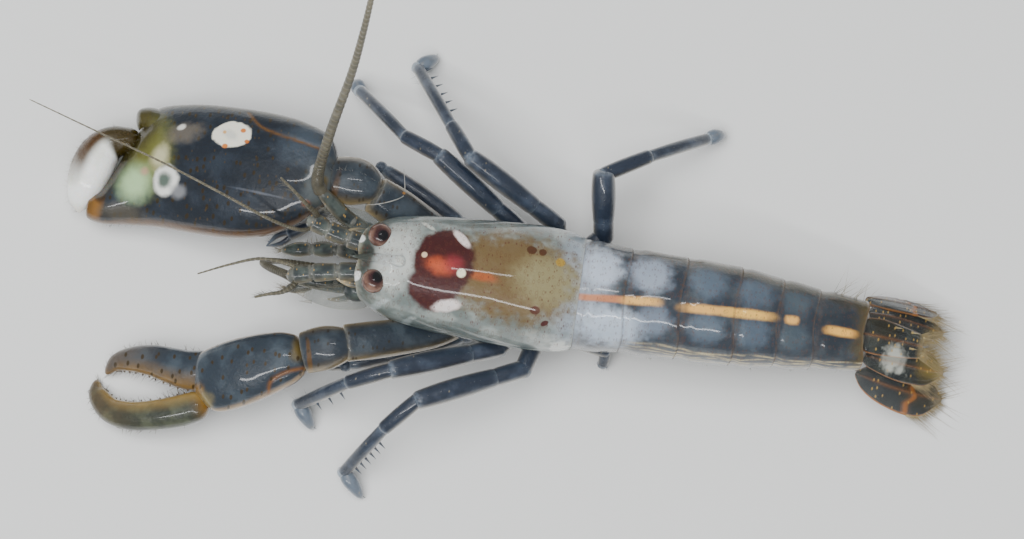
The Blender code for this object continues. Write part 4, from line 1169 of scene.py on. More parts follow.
@dataclass
class Abdomen(Assembly):
    """Six hinged rings, each a shell that tucks under the one before, with a rounded flap on each side."""

    joints: tuple[float, ...] = (5.72, 6.78, 8.18, 9.55, 10.62, 11.55, 12.80)
    drops: tuple[float, ...] = (0.22, 0.42, 0.36, 0.34, 0.30, 0.16)
    overlap: float = 0.16
    thickness: float = 0.06
    rows: int = 141
    columns: int = 44

    def build(self) -> list[Part]:
        """Carves the six rings."""
        return [self._ring(index) for index in range(len(self.drops))]

    def _ring(self, index: int) -> Part:
        """One ring and its flaps."""
        ring = Carving(Seed.RING + index)
        start, end = self.joints[index] - self.overlap, self.joints[index + 1]
        girth = np.linspace(-1.0, 1.0, self.rows)
        size = np.abs(girth)
        lobe = 1.0 - np.sqrt(np.clip(1.0 - smooth_step(size, 0.70, 1.04) ** 2, 0.0, 1.0))
        length = end - start
        front = start + 0.62 * length * lobe + 0.06 * hump(size, 0.62, 0.06)
        back = end - 0.30 * length * lobe + 0.05 * hump(size, 0.35, 0.2) - 0.05 * hump(girth, 0.0, 0.2)
        drop = self.drops[index] * np.ones(self.rows)

        def lift(x: Array, spread: Array) -> Array:
            """Each ring swells to its hinder edge and carries a low rim there."""
            share = (x - start) / length
            swell = -0.035 + 0.05 * smooth_step(share, 0.0, 0.40) - 0.012 * hump(share, 0.24, 0.06)
            return swell + 0.012 * smooth_step(share, 0.93, 0.97) + 0.008 * np.sin(5.0 * x + 6.0 * spread)

        rings, spread, along = shell(front, back, girth, drop, lift, self.thickness, self.columns)
        hem = smooth_step(np.abs(spread), 0.955, 0.985)
        low_corner = 0.8 * smooth_step(np.abs(spread), 0.80, 0.9) * smooth_step(along, 0.94, 0.98)
        ring.add_rings(rings, {
            Mask.SEAM: np.maximum(smooth_step(along, 0.955, 0.985),
                                  0.5 * hump(along, 0.17, 0.03)) * (1 - hem),
            Mask.FLANK: np.maximum(hem, low_corner),
            Mask.TIP: self._streaks(rings[..., 0], spread),
        })
        for sign in (1.0, -1.0):
            edge = BODY.skin(
                np.linspace(start + 0.6 * length, end - 0.3 * length, 12), np.full(12, 0.985 * sign),
                np.full(12, self.drops[index]), np.zeros(12),
            )
            hairs_along(ring, edge, 34, (0.2, 0.1 * sign, -1.0), 0.16, (0.0, 1.0), 0.3, 0.006)
        if index == len(self.drops) - 1:
            back_line = BODY.skin(np.linspace(11.9, 12.8, 6), np.full(6, 0.48), np.zeros(6), np.zeros(6))
            hairs_along(ring, back_line, 16, (0.7, 0.8, 0.5), 1.0, (0.0, 1.0), 0.25, 0.006)
        return Part(f"abdomen_ring_{index + 1}", ring, Look.ABDOMEN, "abdomen", (f"pleon_{index + 1}",))

    @staticmethod
    def _streaks(x: Array, spread: Array) -> Array:
        """Pale wavy streaks along the sides, the most on the left."""
        size = np.abs(spread)
        streaks = 0.8 * hump(size, 0.61, 0.022)
        for place, wave, pace in ((0.56, 0.012, 5.0), (0.51, 0.018, 3.4), (0.46, 0.014, 4.3),
                                  (0.41, 0.020, 2.6)):
            streaks = np.maximum(streaks, hump(size, place + wave * np.sin(pace * x + 9.0 * place), 0.010))
        return streaks * np.where(spread < 0.0, smooth_step(x, 6.3, 8.0), 0.15)


@dataclass
class TailFan(Assembly):
    """The telson and the two pairs of fins beside it."""

    thickness: float = 0.07
    blades: tuple[tuple[str, Knots, tuple[float, ...], float], ...] = (
        ("telson", ((12.70, -0.06, 2.24), (13.30, -0.07, 2.12), (13.90, -0.08, 1.80), (14.34, -0.08, 1.52)),
         (0.42, 0.46, 0.42, 0.36, 0.30), 0.0),
        ("uropod_inner_left", ((12.80, -0.50, 1.70), (13.60, -0.54, 1.46), (14.40, -0.55, 1.02),
                               (15.00, -0.54, 0.66)),
         (0.20, 0.34, 0.44, 0.46, 0.40, 0.16), 12.0),
        ("uropod_outer_left", ((12.76, -0.94, 1.30), (13.60, -1.10, 1.02), (14.40, -1.16, 0.58),
                               (15.08, -1.16, 0.18)),
         (0.18, 0.42, 0.54, 0.58, 0.48, 0.18), 6.0),
        ("uropod_inner_right", ((12.80, 0.50, 1.70), (13.50, 0.52, 1.50), (14.20, 0.48, 1.14),
                                (14.86, 0.42, 0.78)),
         (0.20, 0.32, 0.40, 0.42, 0.36, 0.14), -24.0),
        ("uropod_outer_right", ((12.76, 0.88, 1.42), (13.40, 0.92, 1.22), (14.10, 0.92, 0.90),
                                (14.66, 0.88, 0.62)),
         (0.18, 0.34, 0.44, 0.46, 0.38, 0.14), -60.0),
    )

    def build(self) -> list[Part]:
        """Carves the five blades."""
        return [self._blade(*blade) for blade in self.blades]

    def _blade(self, name: str, path: Knots, widths: tuple[float, ...], roll: float) -> Part:
        """One blade with its rib, its crease, spines and a fringe of hairs."""
        blade = Carving(Seed.BLADE + len(name))
        rows, sides = 90, 72
        share = np.linspace(0.0, 1.0, rows)
        middle = spline(path, share)
        ahead = unit(np.gradient(middle, axis=0)).mean(axis=0)
        up = np.array(Matrix.Rotation(math.radians(roll), 3, Vector(ahead)) @ Vector(UP))
        rear = 0.10 if name == "telson" else 0.30
        half = swelling(widths, share, 0.12, rear, 0.03)
        thick = self.thickness * (1.6 - 0.9 * share) * np.maximum(rounded(share, 0.04, 0.05), 0.05)
        rings, angle = tube(middle, half, thick, sides, up, 2.0)
        level = np.cos(angle)[None] * np.ones((rows, 1))
        top = np.sign(np.sin(angle))[None]
        waves = 0.012 * np.cos(level * 22.0) * smooth_step(share, 0.3, 0.6)[:, None]
        ribs = 0.03 * hump(level, 0.0, 0.10) + waves
        crease = np.zeros((rows, sides))
        outer = name.startswith("uropod_outer")
        if outer:
            bow = share[:, None] - (0.62 - 0.08 * np.abs(level) + 0.02 * np.sin(level * 9.0))
            crease = hump(bow, 0.0, 0.030)
        rings = rings + up * (top * (ribs - 0.02 * crease))[..., None]
        outward = -level * math.copysign(1.0, path[0][1])
        margin = smooth_step(np.abs(level), 0.90, 0.985)
        blade.add_rings(rings, {
            Mask.FLANK: margin * np.where(outward > 0, 1.0, 0.45) * (1.0 if outer else 0.6),
            Mask.SEAM: np.maximum(crease, 0.35 * hump(level, 0.0, 0.08)),
            Mask.TIP: 0.4 * smooth_step(share, 0.8, 1.0)[:, None],
        })
        self._fringe(blade, rings, name)
        return Part(f"{name}_blade", blade, Look.FIN, "tail", (name,))

    @staticmethod
    def _fringe(blade: Carving, rings: Array, name: str) -> None:
        """Adds hairs round the hinder margin, and the spines."""
        rows, sides = rings.shape[:2]
        low = 0.93 if name == "telson" else 0.60
        middle = rings.mean(axis=1)
        ahead = unit(middle[-1] - middle[-12])
        for column in (0, sides // 2):
            edge = rings[:, column]
            for count, low_length, length, radius in ((150, 0.16, 0.34, 0.007), (26, 0.6, 1.15, 0.005)):
                share = blade.draw.uniform(low, 1.0, count)
                roots, heart = spline(edge, share), spline(middle, share)
                outward = unit(roots - heart)
                scatter = blade.draw.normal(0, 0.08, (count, 3))
                ways = unit(ahead * (0.8 + 0.8 * share[:, None]) + outward * 0.6 + scatter)
                lengths = blade.draw.uniform(low_length, length, count)
                blade.add_bristles(roots - ways * 0.04, ways, lengths, radius, 0.02, 0.8)
        if name == "telson":
            spots = np.array([(13.55, 0.24, 2.06), (13.55, -0.24, 2.06), (13.98, 0.20, 1.82),
                              (13.98, -0.20, 1.82)])
            blade.add_bristles(spots, np.tile(ahead + UP * 0.35, (4, 1)), np.full(4, 0.22), 0.035, 0.0, 0.8)
            ends = np.stack([rings[-4, 2], rings[-4, sides // 2 - 2]])
            blade.add_bristles(ends, np.tile(ahead, (2, 1)), np.full(2, 0.26), 0.035, 0.0, 0.8)
        elif "outer" in name:
            column = 0 if name.endswith("left") else sides // 2
            root = rings[int(rows * 0.60), column]
            blade.add_bristles(root[None], ahead[None], np.array([0.30]), 0.05, 0.0, 0.9)


@dataclass
class GreatClaw(Assembly):
    """The animal's right, snapping claw with its arm and wrist."""

    rows: Knots = (
        (-0.66, 2.34, 1.40, 2.42, 0.34), (-1.04, 2.98, 1.10, 2.34, 0.56), (-1.75, 3.28, 0.57, 2.18, 0.72),
        (-2.40, 3.40, 0.28, 2.00, 0.82), (-3.20, 3.47, 0.17, 1.74, 0.88), (-4.20, 3.50, 0.22, 1.36, 0.88),
        (-5.00, 3.43, 0.29, 1.04, 0.86), (-5.44, 3.31, 0.29, 0.86, 0.82), (-5.74, 3.02, 0.28, 0.81, 0.74),
        (-5.92, 2.50, 0.27, 0.78, 0.67), (-6.12, 2.12, 0.25, 0.76, 0.60), (-6.34, 1.60, 0.23, 0.74, 0.52),
        (-6.56, 1.14, 0.24, 0.72, 0.44), (-6.76, 0.94, 0.28, 0.70, 0.36), (-6.92, 0.80, 0.36, 0.68, 0.28),
    )
    corner: Knots = ((-4.80, 2.70, 0.96), (-5.30, 2.84, 0.90), (-5.66, 2.93, 0.86), (-5.96, 2.84, 0.84))
    corner_size: tuple[float, ...] = (0.34, 0.40, 0.37, 0.32)
    finger: Knots = (
        (-5.78, 2.34, 0.92), (-6.17, 2.37, 0.92), (-6.52, 2.25, 0.91), (-6.77, 1.96, 0.88),
        (-6.92, 1.56, 0.84), (-7.02, 1.14, 0.78), (-7.08, 0.76, 0.68), (-7.09, 0.45, 0.58),
    )
    finger_widths: tuple[float, ...] = (0.30, 0.35, 0.44, 0.52, 0.54, 0.47, 0.33, 0.14)
    finger_heights: tuple[float, ...] = (0.36, 0.42, 0.46, 0.48, 0.46, 0.40, 0.30, 0.14)
    suture: Knots = ((-3.14, 3.30), (-2.78, 2.96), (-2.31, 2.80), (-1.63, 2.65), (-1.05, 2.52))
    rim: Knots = ((-5.62, 2.70), (-5.90, 2.36), (-6.16, 1.90), (-6.40, 1.36), (-6.62, 0.98))
    arm: Knots = ((2.88, 0.44, 1.24), (2.00, 1.02, 1.56), (1.16, 1.32, 2.04), (0.21, 1.70, 2.44))
    curl: Knots = ((0.89, 2.43, 2.35), (0.99, 1.85, 2.42), (0.89, 1.62, 2.72), (0.46, 1.40, 2.90),
                   (0.06, 1.30, 2.93))
    wrist: Knots = ((0.38, 1.80, 2.44), (-0.22, 1.92, 2.44), (-0.90, 1.90, 2.42))
    columns: int = 144

    def build(self) -> list[Part]:
        """Carves arm, wrist, palm and finger."""
        arm, wrist = Carving(Seed.GREAT_ARM), Carving(Seed.GREAT_WRIST)
        segment(arm, self.arm, (0.27, 0.35, 0.45, 0.52, 0.48), (0.26, 0.32, 0.40, 0.44, 0.38), rows=70,
                sides=48, ends=(0.05, 0.03), joint=0.03, flank_power=7.0)
        hairs_along(arm, self.arm, 24, (0.0, 0.5, 1.0), 0.20, off=0.36)
        share = stations(30)
        width = profile((0.006, 0.014, 0.014, 0.005), share)
        arm.add_rings(tube(spline(self.curl, share), width, width, 6)[0], {Mask.TIP: np.ones((30, 6))})
        rings = segment(wrist, self.wrist, (0.30, 0.50, 0.60, 0.60, 0.56), (0.34, 0.46, 0.50, 0.50, 0.44),
                        rows=60, sides=48, ends=(0.07, 0.05), joint=0.05, flank_power=7.0)
        hairs_along(wrist, rings[:, 10], 18, (-0.4, 0.2, 1.0), 0.18)
        return [
            Part("great_claw_arm", arm, Look.ARM, "claw", ("cheliped_right_arm",)),
            Part("great_claw_wrist", wrist, Look.ARM, "claw", ("cheliped_right_wrist",)),
            Part("great_claw_palm", self._palm(), Look.BIG_PALM, "claw", ("cheliped_right_palm",)),
            Part("great_claw_finger", self._finger(), Look.BIG_FINGER, "finger", ("cheliped_right_finger",)),
        ]

    def _palm(self) -> Carving:
        """The palm and its fixed finger: flat-sided rings along x, with grooves and a rim."""
        palm = Carving(Seed.GREAT_PALM)
        share = np.linspace(0.0, 1.0, 200)
        x, upper, lower, middle, thick = spline(self.rows, share).T
        ease = np.maximum(rounded(share, 0.035, 0.03), 0.03)
        angle = ring_angles(self.columns)
        level, rise = bent(np.cos(angle), 0.86), bent(np.sin(angle), 0.90)
        y = ((upper + lower) / 2)[:, None] + ((upper - lower) / 2 * ease)[:, None] * level
        z = middle[:, None] + (thick * ease)[:, None] * rise
        rings = grid(x[:, None], y, z)
        seam = near_line(rings, self.suture, 0.032) * (np.sin(angle) > 0)
        rim = near_line(rings, self.rim, 0.24)
        groove = near_line(rings, self.rim, 0.10)
        grow = -0.05 * seam - 0.07 * groove - 0.05 * near_line(rings, self.suture, 0.16)
        grow += 0.025 * np.sin(1.9 * rings[..., 0] + 2.0 * rings[..., 1]) * np.sin(2.6 * rings[..., 1])
        grow -= 0.025 * hump(rings[..., 1], 1.15, 0.24) * hump(rings[..., 0], -2.6, 0.9)
        rings[..., 2] += grow * np.sin(angle)
        upper_half = smooth_step(np.sin(angle), -0.08, 0.10)
        palm.add_rings(rings, {
            Mask.FLANK: smooth_step(np.cos(angle), 0.84, 0.98) * upper_half,
            Mask.JOINT: smooth_step(-np.cos(angle), 0.86, 0.985) * upper_half,
            Mask.SEAM: seam,
            Mask.TIP: np.maximum(0.9 * rim, 0.6 * smooth_step(-rings[..., 0], 6.5, 6.85)),
        })
        segment(palm, self.corner, self.corner_size, tuple(1.5 * size for size in self.corner_size), rows=50,
                sides=48, ends=(0.1, 0.22), joint=0.01)
        hairs_along(palm, ((-5.5, 3.2, 1.2), (-5.8, 2.4, 1.4), (-6.2, 1.4, 1.2)), 30, (-1.0, 0.1, 0.5), 0.24)
        hairs_along(palm, ((-5.4, 0.42, 0.9), (-6.2, 0.34, 0.8), (-6.8, 0.5, 0.7)), 30, (-0.6, -1.0, 0.1),
                    0.22)
        return palm

    def _finger(self) -> Carving:
        """The moving finger, a fat sickle that closes over the palm's end."""
        finger = Carving(Seed.GREAT_FINGER)
        share = stations(90)
        width = swelling(self.finger_widths, share, 0.10, 0.16, 0.03)
        height = swelling(self.finger_heights, share, 0.10, 0.16, 0.03)
        rings, angle = tube(spline(self.finger, share), width, height, 64)
        outer = smooth_step(np.cos(angle), -0.05, 0.45)
        finger.add_rings(rings, {
            Mask.FLANK: outer * (1.0 - smooth_step(share, 0.48, 0.80))[:, None],
            Mask.JOINT: (1.0 - smooth_step(share, 0.25, 0.36))[:, None],
            Mask.TIP: smooth_step(share, 0.86, 0.98)[:, None],
        })
        hairs_along(finger, rings[:, 4], 46, (-1.0, 0.1, 0.2), 0.20, (0.15, 0.95), 0.5)
        return finger


@dataclass
class LesserClaw(Assembly):
    """The animal's left, slender claw with its arm and wrist."""

    arm: Knots = ((3.40, -0.60, 1.24), (2.40, -1.34, 1.58), (1.20, -1.76, 1.98), (-0.02, -2.11, 2.24))
    wrist: Knots = ((0.20, -2.06, 2.21), (-0.38, -2.25, 2.14), (-0.96, -2.46, 2.01))
    palm: Knots = ((-0.88, -2.44, 2.03), (-1.74, -2.78, 1.74), (-2.60, -3.16, 1.45), (-3.54, -3.60, 1.15))
    widths: tuple[float, ...] = (0.42, 0.64, 0.74, 0.80, 0.84, 0.84, 0.78, 0.54)
    heights: tuple[float, ...] = (0.28, 0.46, 0.53, 0.55, 0.56, 0.52, 0.44, 0.30)
    fixed: Knots = (
        (-3.00, -3.06, 1.28), (-3.70, -3.16, 1.06), (-4.20, -3.10, 0.92), (-4.70, -3.02, 0.76),
        (-5.20, -3.04, 0.58), (-5.60, -3.16, 0.40), (-5.84, -3.46, 0.24),
    )
    moving: Knots = (
        (-3.14, -3.92, 1.22), (-3.80, -4.20, 1.00), (-4.45, -4.38, 0.82), (-5.05, -4.46, 0.62),
        (-5.58, -4.36, 0.40), (-5.96, -4.00, 0.20), (-6.06, -3.62, 0.08),
    )
    fixed_widths: tuple[float, ...] = (0.48, 0.50, 0.46, 0.40, 0.32, 0.22, 0.06)
    moving_widths: tuple[float, ...] = (0.36, 0.40, 0.38, 0.36, 0.32, 0.24, 0.06)
    suture: Knots = ((-1.66, -3.56), (-1.63, -3.28), (-1.30, -3.02), (-0.90, -2.85))

    def build(self) -> list[Part]:
        """Carves arm, wrist, palm with its fixed finger, and the moving finger."""
        arm, wrist = Carving(Seed.LESSER_ARM), Carving(Seed.LESSER_WRIST)
        segment(arm, self.arm, (0.27, 0.34, 0.42, 0.47, 0.47), (0.25, 0.29, 0.34, 0.38, 0.34), rows=70,
                sides=48, ends=(0.05, 0.03), joint=0.03, flank_power=7.0)
        segment(wrist, self.wrist, (0.36, 0.48, 0.55, 0.55, 0.52), (0.30, 0.42, 0.45, 0.42, 0.36), rows=60,
                sides=48, ends=(0.06, 0.04), joint=0.05, flank_power=7.0)
        hairs_along(arm, self.arm, 20, (0.0, -0.5, 1.0), 0.20, off=0.3)
        return [
            Part("lesser_claw_arm", arm, Look.ARM, "claw", ("cheliped_left_arm",)),
            Part("lesser_claw_wrist", wrist, Look.ARM, "claw", ("cheliped_left_wrist",)),
            Part("lesser_claw_palm", self._palm(), Look.SMALL_PALM, "claw", ("cheliped_left_palm",)),
            Part("lesser_claw_finger", self._digit(self.moving, self.moving_widths, -1.0), Look.SMALL_FINGER,
                 "finger", ("cheliped_left_finger",)),
        ]

    def _palm(self) -> Carving:
        """The palm as rings square to its line, and the fixed finger."""
        palm = Carving(Seed.LESSER_PALM)
        share = np.linspace(0.0, 1.0, 130)
        width, height = (swelling(sizes, share, 0.06, 0.12, 0.03) for sizes in (self.widths, self.heights))
        rings, angle = tube(spline(self.palm, share), width, height, 96, fullness=2.3)
        seam = near_line(rings, self.suture, 0.045) * (np.sin(angle) > 0)
        rings[..., 2] -= (0.05 * seam + 0.03 * near_line(rings, self.suture, 0.14)) * np.sin(angle)
        side = np.cos(angle)
        upper_half = smooth_step(np.sin(angle), -0.08, 0.10)
        palm.add_rings(rings, {
            Mask.FLANK: smooth_step(side, 0.88, 0.99) * upper_half,
            Mask.JOINT: smooth_step(-side, 0.84, 0.98) * upper_half,
            Mask.SEAM: seam,
            Mask.TIP: smooth_step(share, 0.90, 0.99)[:, None] * smooth_step(-side, -0.4, 0.5),
        })
        self._digit(self.fixed, self.fixed_widths, 1.0, palm)
        return palm

    @staticmethod
    def _digit(
        path: Knots, widths: tuple[float, ...], outward: float, carving: Carving | None = None
    ) -> Carving:
        """A finger with a row of low teeth and hairs on its cutting edge.

        Args:
            path: its middle line.
            widths: its half widths.
            outward: 1 if its outer side is to the animal's right, -1 if to its left.
            carving: the piece it joins, or none for one of its own.

        Returns:
            The piece.
        """
        digit = carving or Carving(Seed.LESSER_FINGER)
        heights = tuple(0.82 * width for width in widths)
        rings = segment(digit, path, widths, heights, rows=90, sides=48, ends=(0.08, 0.04), joint=0.05,
                        tip=0.5, flank_power=1.3, flank_side=-outward)
        inner = 24 if outward > 0 else 0
        edge = rings[:, inner]
        inward = unit(edge - rings.mean(axis=1))
        spots = np.arange(20, 72, 4)
        digit.add_bristles(edge[spots] - inward[spots] * 0.02, inward[spots], np.full(len(spots), 0.07), 0.05,
                           0.0, 0.7)
        hairs_along(digit, edge, 46, inward[40] * 0.8 - UP * 0.2 + (-0.6, 0.0, 0.0), 0.26, (0.2, 0.95), 0.4,
                    0.007)
        hairs_along(digit, rings[:, 24 - inner], 26, -inward[40] + (-0.5, 0.0, 0.2), 0.18, (0.2, 0.95), 0.4,
                    0.007)
        return digit


@dataclass
class Leg(Assembly):
    """A walking leg: hip, thigh, knee piece, shin and a hooked claw."""

    number: int
    side: Side
    joints: Knots
    spines: int = 6
    radii: tuple[float, ...] = (0.24, 0.265, 0.20, 0.165, 0.115)

    def build(self) -> list[Part]:
        """Carves the leg as one piece."""
        leg = Carving(Seed.WALKING_LEG + 10 * self.number + self.side.value)
        points = np.asarray(self.joints, float)
        radii = self.radii[:1] + self.radii[-(len(points) - 2):] if len(points) < 6 else self.radii
        last = len(points) - 2
        for index in range(last + 1):
            start, end = points[index], points[index + 1]
            radius, reach = radii[index], np.linalg.norm(end - start)
            if index == last:
                self._claw(leg, start, end, radius)
            elif index == 1 and reach > 1.5:
                split = start + (end - start) * 0.27
                self._bone(leg, start, split, radius * 0.88, (0.94, 1.0, 1.0, 0.94))
                self._bone(leg, split, end, radius, (0.86, 0.98, 1.04, 1.0, 0.86))
            else:
                self._bone(leg, start, end, radius, (0.92, 1.0, 0.98, 0.90))
            if index > 0:
                knob(leg, start, radius * 0.90)
        self._shin_spines(leg, points[last - 1], points[last], points[-1], radii[last - 1])
        name = f"leg_{self.number}_{self.side.word}"
        return [Part(f"walking_{name}", leg, Look.LEG, "leg", (name,))]

    @staticmethod
    def _bone(leg: Carving, start: Array, end: Array, radius: float, shape: tuple[float, ...]) -> None:
        """One straight segment, taller than wide, that laps over the joints at its ends, with a few hairs."""
        lap = 0.5 * radius * unit(end - start)
        start, end = start - lap, end + lap
        way = end - start
        sag = np.array([0.0, 0.0, 0.03 * np.linalg.norm(way)])
        path = np.array([start, start + way * 0.5 + sag, end])
        steep = abs(way[2]) > 0.8 * np.linalg.norm(way)
        up = np.array([1.0, 0.0, 0.0]) if steep else UP
        widths = tuple(radius * share for share in shape)
        rings = segment(leg, path, widths, tuple(1.12 * width for width in widths), up, ends=(0.08, 0.08),
                        joint=0.07, flank_power=9.0)
        hairs_along(leg, rings[:, 6], 7, (0.0, 0.0, 1.0), 0.13, radius=0.006)

    @staticmethod
    def _claw(leg: Carving, start: Array, end: Array, radius: float) -> None:
        """The hooked claw that the leg stands on, with a small second point."""
        way = end - start
        out = unit(np.array([-way[1], way[0], 0.0]) + 1e-6)
        bow = unit(np.cross(way, out)) * 0.12 * np.linalg.norm(way)
        path = np.array([start, start + way * 0.35 + bow, start + way * 0.75 + bow * 0.9, end])
        widths = (radius * 1.35, radius * 1.7, radius * 1.4, radius * 0.8, 0.012)
        rings = segment(leg, path, widths, widths, out, ends=(0.10, 0.02), joint=0.02, tip=1.0, tip_from=-0.6,
                        sides=20, flank_power=30.0)
        pad = ellipsoid(start, (radius * 1.45,) * 3, 14, 20)
        leg.add_rings(pad, {Mask.SEAM: np.ones(pad.shape[:2])})
        spur = unit(way + out * 0.5)
        leg.add_bristles(rings[-12].mean(axis=0)[None], spur[None], np.array([0.18]), 0.03, 0.0, 1.0)

    def _shin_spines(self, leg: Carving, start: Array, end: Array, tip: Array, radius: float) -> None:
        """Small spines on the side of the shin that the claw hooks to, and a tuft of hairs at its end."""
        way = unit(end - start)
        hook = tip - end
        side = unit((hook - way * (hook @ way)) * (1.0, 1.0, 0.1))
        lean = unit(way * 0.25 + side)
        share = np.linspace(0.25, 0.94, self.spines)[:, None]
        roots = start + (end - start) * share + side * radius * 0.8
        leg.add_bristles(roots, np.tile(lean, (self.spines, 1)), np.full(self.spines, 0.24), 0.044, 0.0, 0.6)
        hairs_along(leg, np.array([start, (start + end) / 2, end]), 12, way - side * 0.5, 0.30, (0.7, 0.98),
                    0.4, 0.006, radius * 0.8)


@dataclass
class PincerLeg(Assembly):
    """A second leg, whose wrist is cut into five short joints and which ends in a small pincer."""

    side: Side
    joints: Knots
    radii: tuple[float, ...] = (0.24, 0.22, 0.15, 0.15)
    wrist_shares: tuple[float, ...] = (0.0, 0.36, 0.50, 0.62, 0.75, 1.0)

    def build(self) -> list[Part]:
        """Carves the leg as one piece."""
        leg = Carving(Seed.PINCER_LEG + self.side.value)
        points = np.asarray(self.joints, float)
        for index in (0, 1):
            start, end, radius = points[index], points[index + 1], self.radii[index]
            sizes = (0.7 * radius, radius, radius, 0.7 * radius)
            segment(leg, np.array([start, (start + end) / 2 + UP * 0.05, end]), sizes, sizes)
            knob(leg, end, radius * 0.72)
        start, end = points[2], points[3]
        radius = self.radii[2]
        sizes = (0.72 * radius, radius, 1.1 * radius)
        for low, high in zip(self.wrist_shares, self.wrist_shares[1:]):
            here, there = start + (end - start) * low, start + (end - start) * high
            segment(leg, np.array([here, (here + there) / 2, there]), sizes, sizes, rows=18, joint=0.18)
            knob(leg, there, radius * 0.70)
        self._pincer(leg, points[3], points[4])
        name = f"leg_2_{self.side.word}"
        return [Part(f"pincer_{name}", leg, Look.LEG, "leg", (name,))]

    def _pincer(self, leg: Carving, start: Array, end: Array) -> None:
        """The small pincer: a palm and two fingers with tufts of hair."""
        way = end - start
        out = unit(np.cross(way, UP))
        half = start + way * 0.52
        radius = self.radii[3]
        segment(leg, np.array([start, (start + half) / 2, half]), (0.7 * radius, 1.1 * radius, radius),
                (0.7 * radius, 1.2 * radius, radius))
        for sign in (1.0, -1.0):
            path = np.array([half - way * 0.06 + out * 0.06 * sign, half + way * 0.2 + out * 0.11 * sign,
                             end])
            segment(leg, path, (0.075, 0.07, 0.012), (0.085, 0.075, 0.012), ends=(0.1, 0.02), tip=0.9,
                    sides=16)
            hairs_along(leg, path, 16, unit(way) + out * sign * 0.8, 0.2, (0.2, 0.9), 0.4, 0.006)


@dataclass
class Antennules(Assembly):
    """The inner feelers: three stout joints and two whips on each side."""

    stems: dict[Side, Knots] = field(default_factory=lambda: {
        Side.RIGHT: ((0.40, 0.34, 2.74), (-0.10, 0.42, 2.76), (-0.66, 0.56, 2.80), (-1.14, 0.73, 2.84)),
        Side.LEFT: ((0.40, -0.32, 2.74), (-0.20, -0.38, 2.70), (-0.84, -0.48, 2.60), (-1.44, -0.61, 2.43)),
    })
    shares: tuple[float, ...] = (0.0, 0.42, 0.74, 1.0)
    radius: float = 0.23

    def build(self) -> list[Part]:
        """Carves both stems."""
        return [self._stem(side) for side in Side]

    def _stem(self, side: Side) -> Part:
        """One stem of three joints with a pointed scale beside the first."""
        stem = Carving(Seed.ANTENNULE + side.value)
        path = self.stems[side]
        for low, high in zip(self.shares, self.shares[1:]):
            piece = spline(path, np.linspace(low, high, 5))
            segment(stem, piece, (0.90 * self.radius, self.radius, 1.02 * self.radius),
                    (0.82 * self.radius, 0.88 * self.radius, 0.90 * self.radius), rows=30, sides=28)
            knob(stem, piece[-1], 0.80 * self.radius)
            hairs_along(stem, piece, 12, (-1.0, 0.3 * side.value, 0.6), 0.2, (0.7, 1.0), 0.4, 0.006,
                        self.radius * 0.7)
        root = np.asarray(path[0], float)
        out = np.array([0.0, 0.26 * side.value, -0.06])
        blade = np.array([root + out, root + out * 1.25 + (-0.42, 0, 0), root + out * 0.9 + (-0.86, 0, 0.02)])
        segment(stem, blade, (0.12, 0.10, 0.012), (0.06, 0.05, 0.012), ends=(0.1, 0.02), tip=0.9)
        return Part(f"antennule_{side.word}_stem", stem, Look.MOUTH, "feeler", (f"antennule_{side.word}",))


@dataclass
class Whip(Assembly):
    """A ringed whip of a feeler. Its radius falls evenly, and swells a little in each of its rings."""

    node: str
    path: Knots
    root_radius: float = 0.10
    tip_radius: float = 0.016
    ring_length: float = 0.11
    tufted: bool = False

    def build(self) -> list[Part]:
        """Carves the whip."""
        whip = Carving(Seed.WHIP + len(self.node))
        length = float(np.linalg.norm(np.diff(np.asarray(self.path), axis=0), axis=1).sum())
        rings = max(12, int(length / self.ring_length))
        share = np.linspace(0.0, 1.0, rings * 8 + 1)
        beat = np.abs(np.sin(share * rings * math.pi))
        taper = self.root_radius + (self.tip_radius - self.root_radius) * share
        radius = taper * (0.84 + 0.16 * np.sqrt(beat))
        radius = radius * np.maximum(rounded(share, 0.01, 0.01), 0.2)
        points, _ = tube(spline(self.path, share), radius, radius, 14)
        joint = 0.9 * hump(beat, 0.0, 0.30)
        whip.add_rings(points, {Mask.JOINT: joint[:, None], Mask.TIP: 0.8 * share[:, None]})
        hairs_along(whip, self.path, rings * 2, (-0.6, 0.0, 0.2), 0.09, (0.03, 0.98), 0.8, 0.005)
        if self.tufted:
            hairs_along(whip, self.path, 60, (-0.9, 0.2, -0.6), 0.34, (0.3, 0.95), 0.2, 0.008)
        return [Part(f"{self.node}_whip", whip, Look.FEELER, "feeler", (self.node,))]


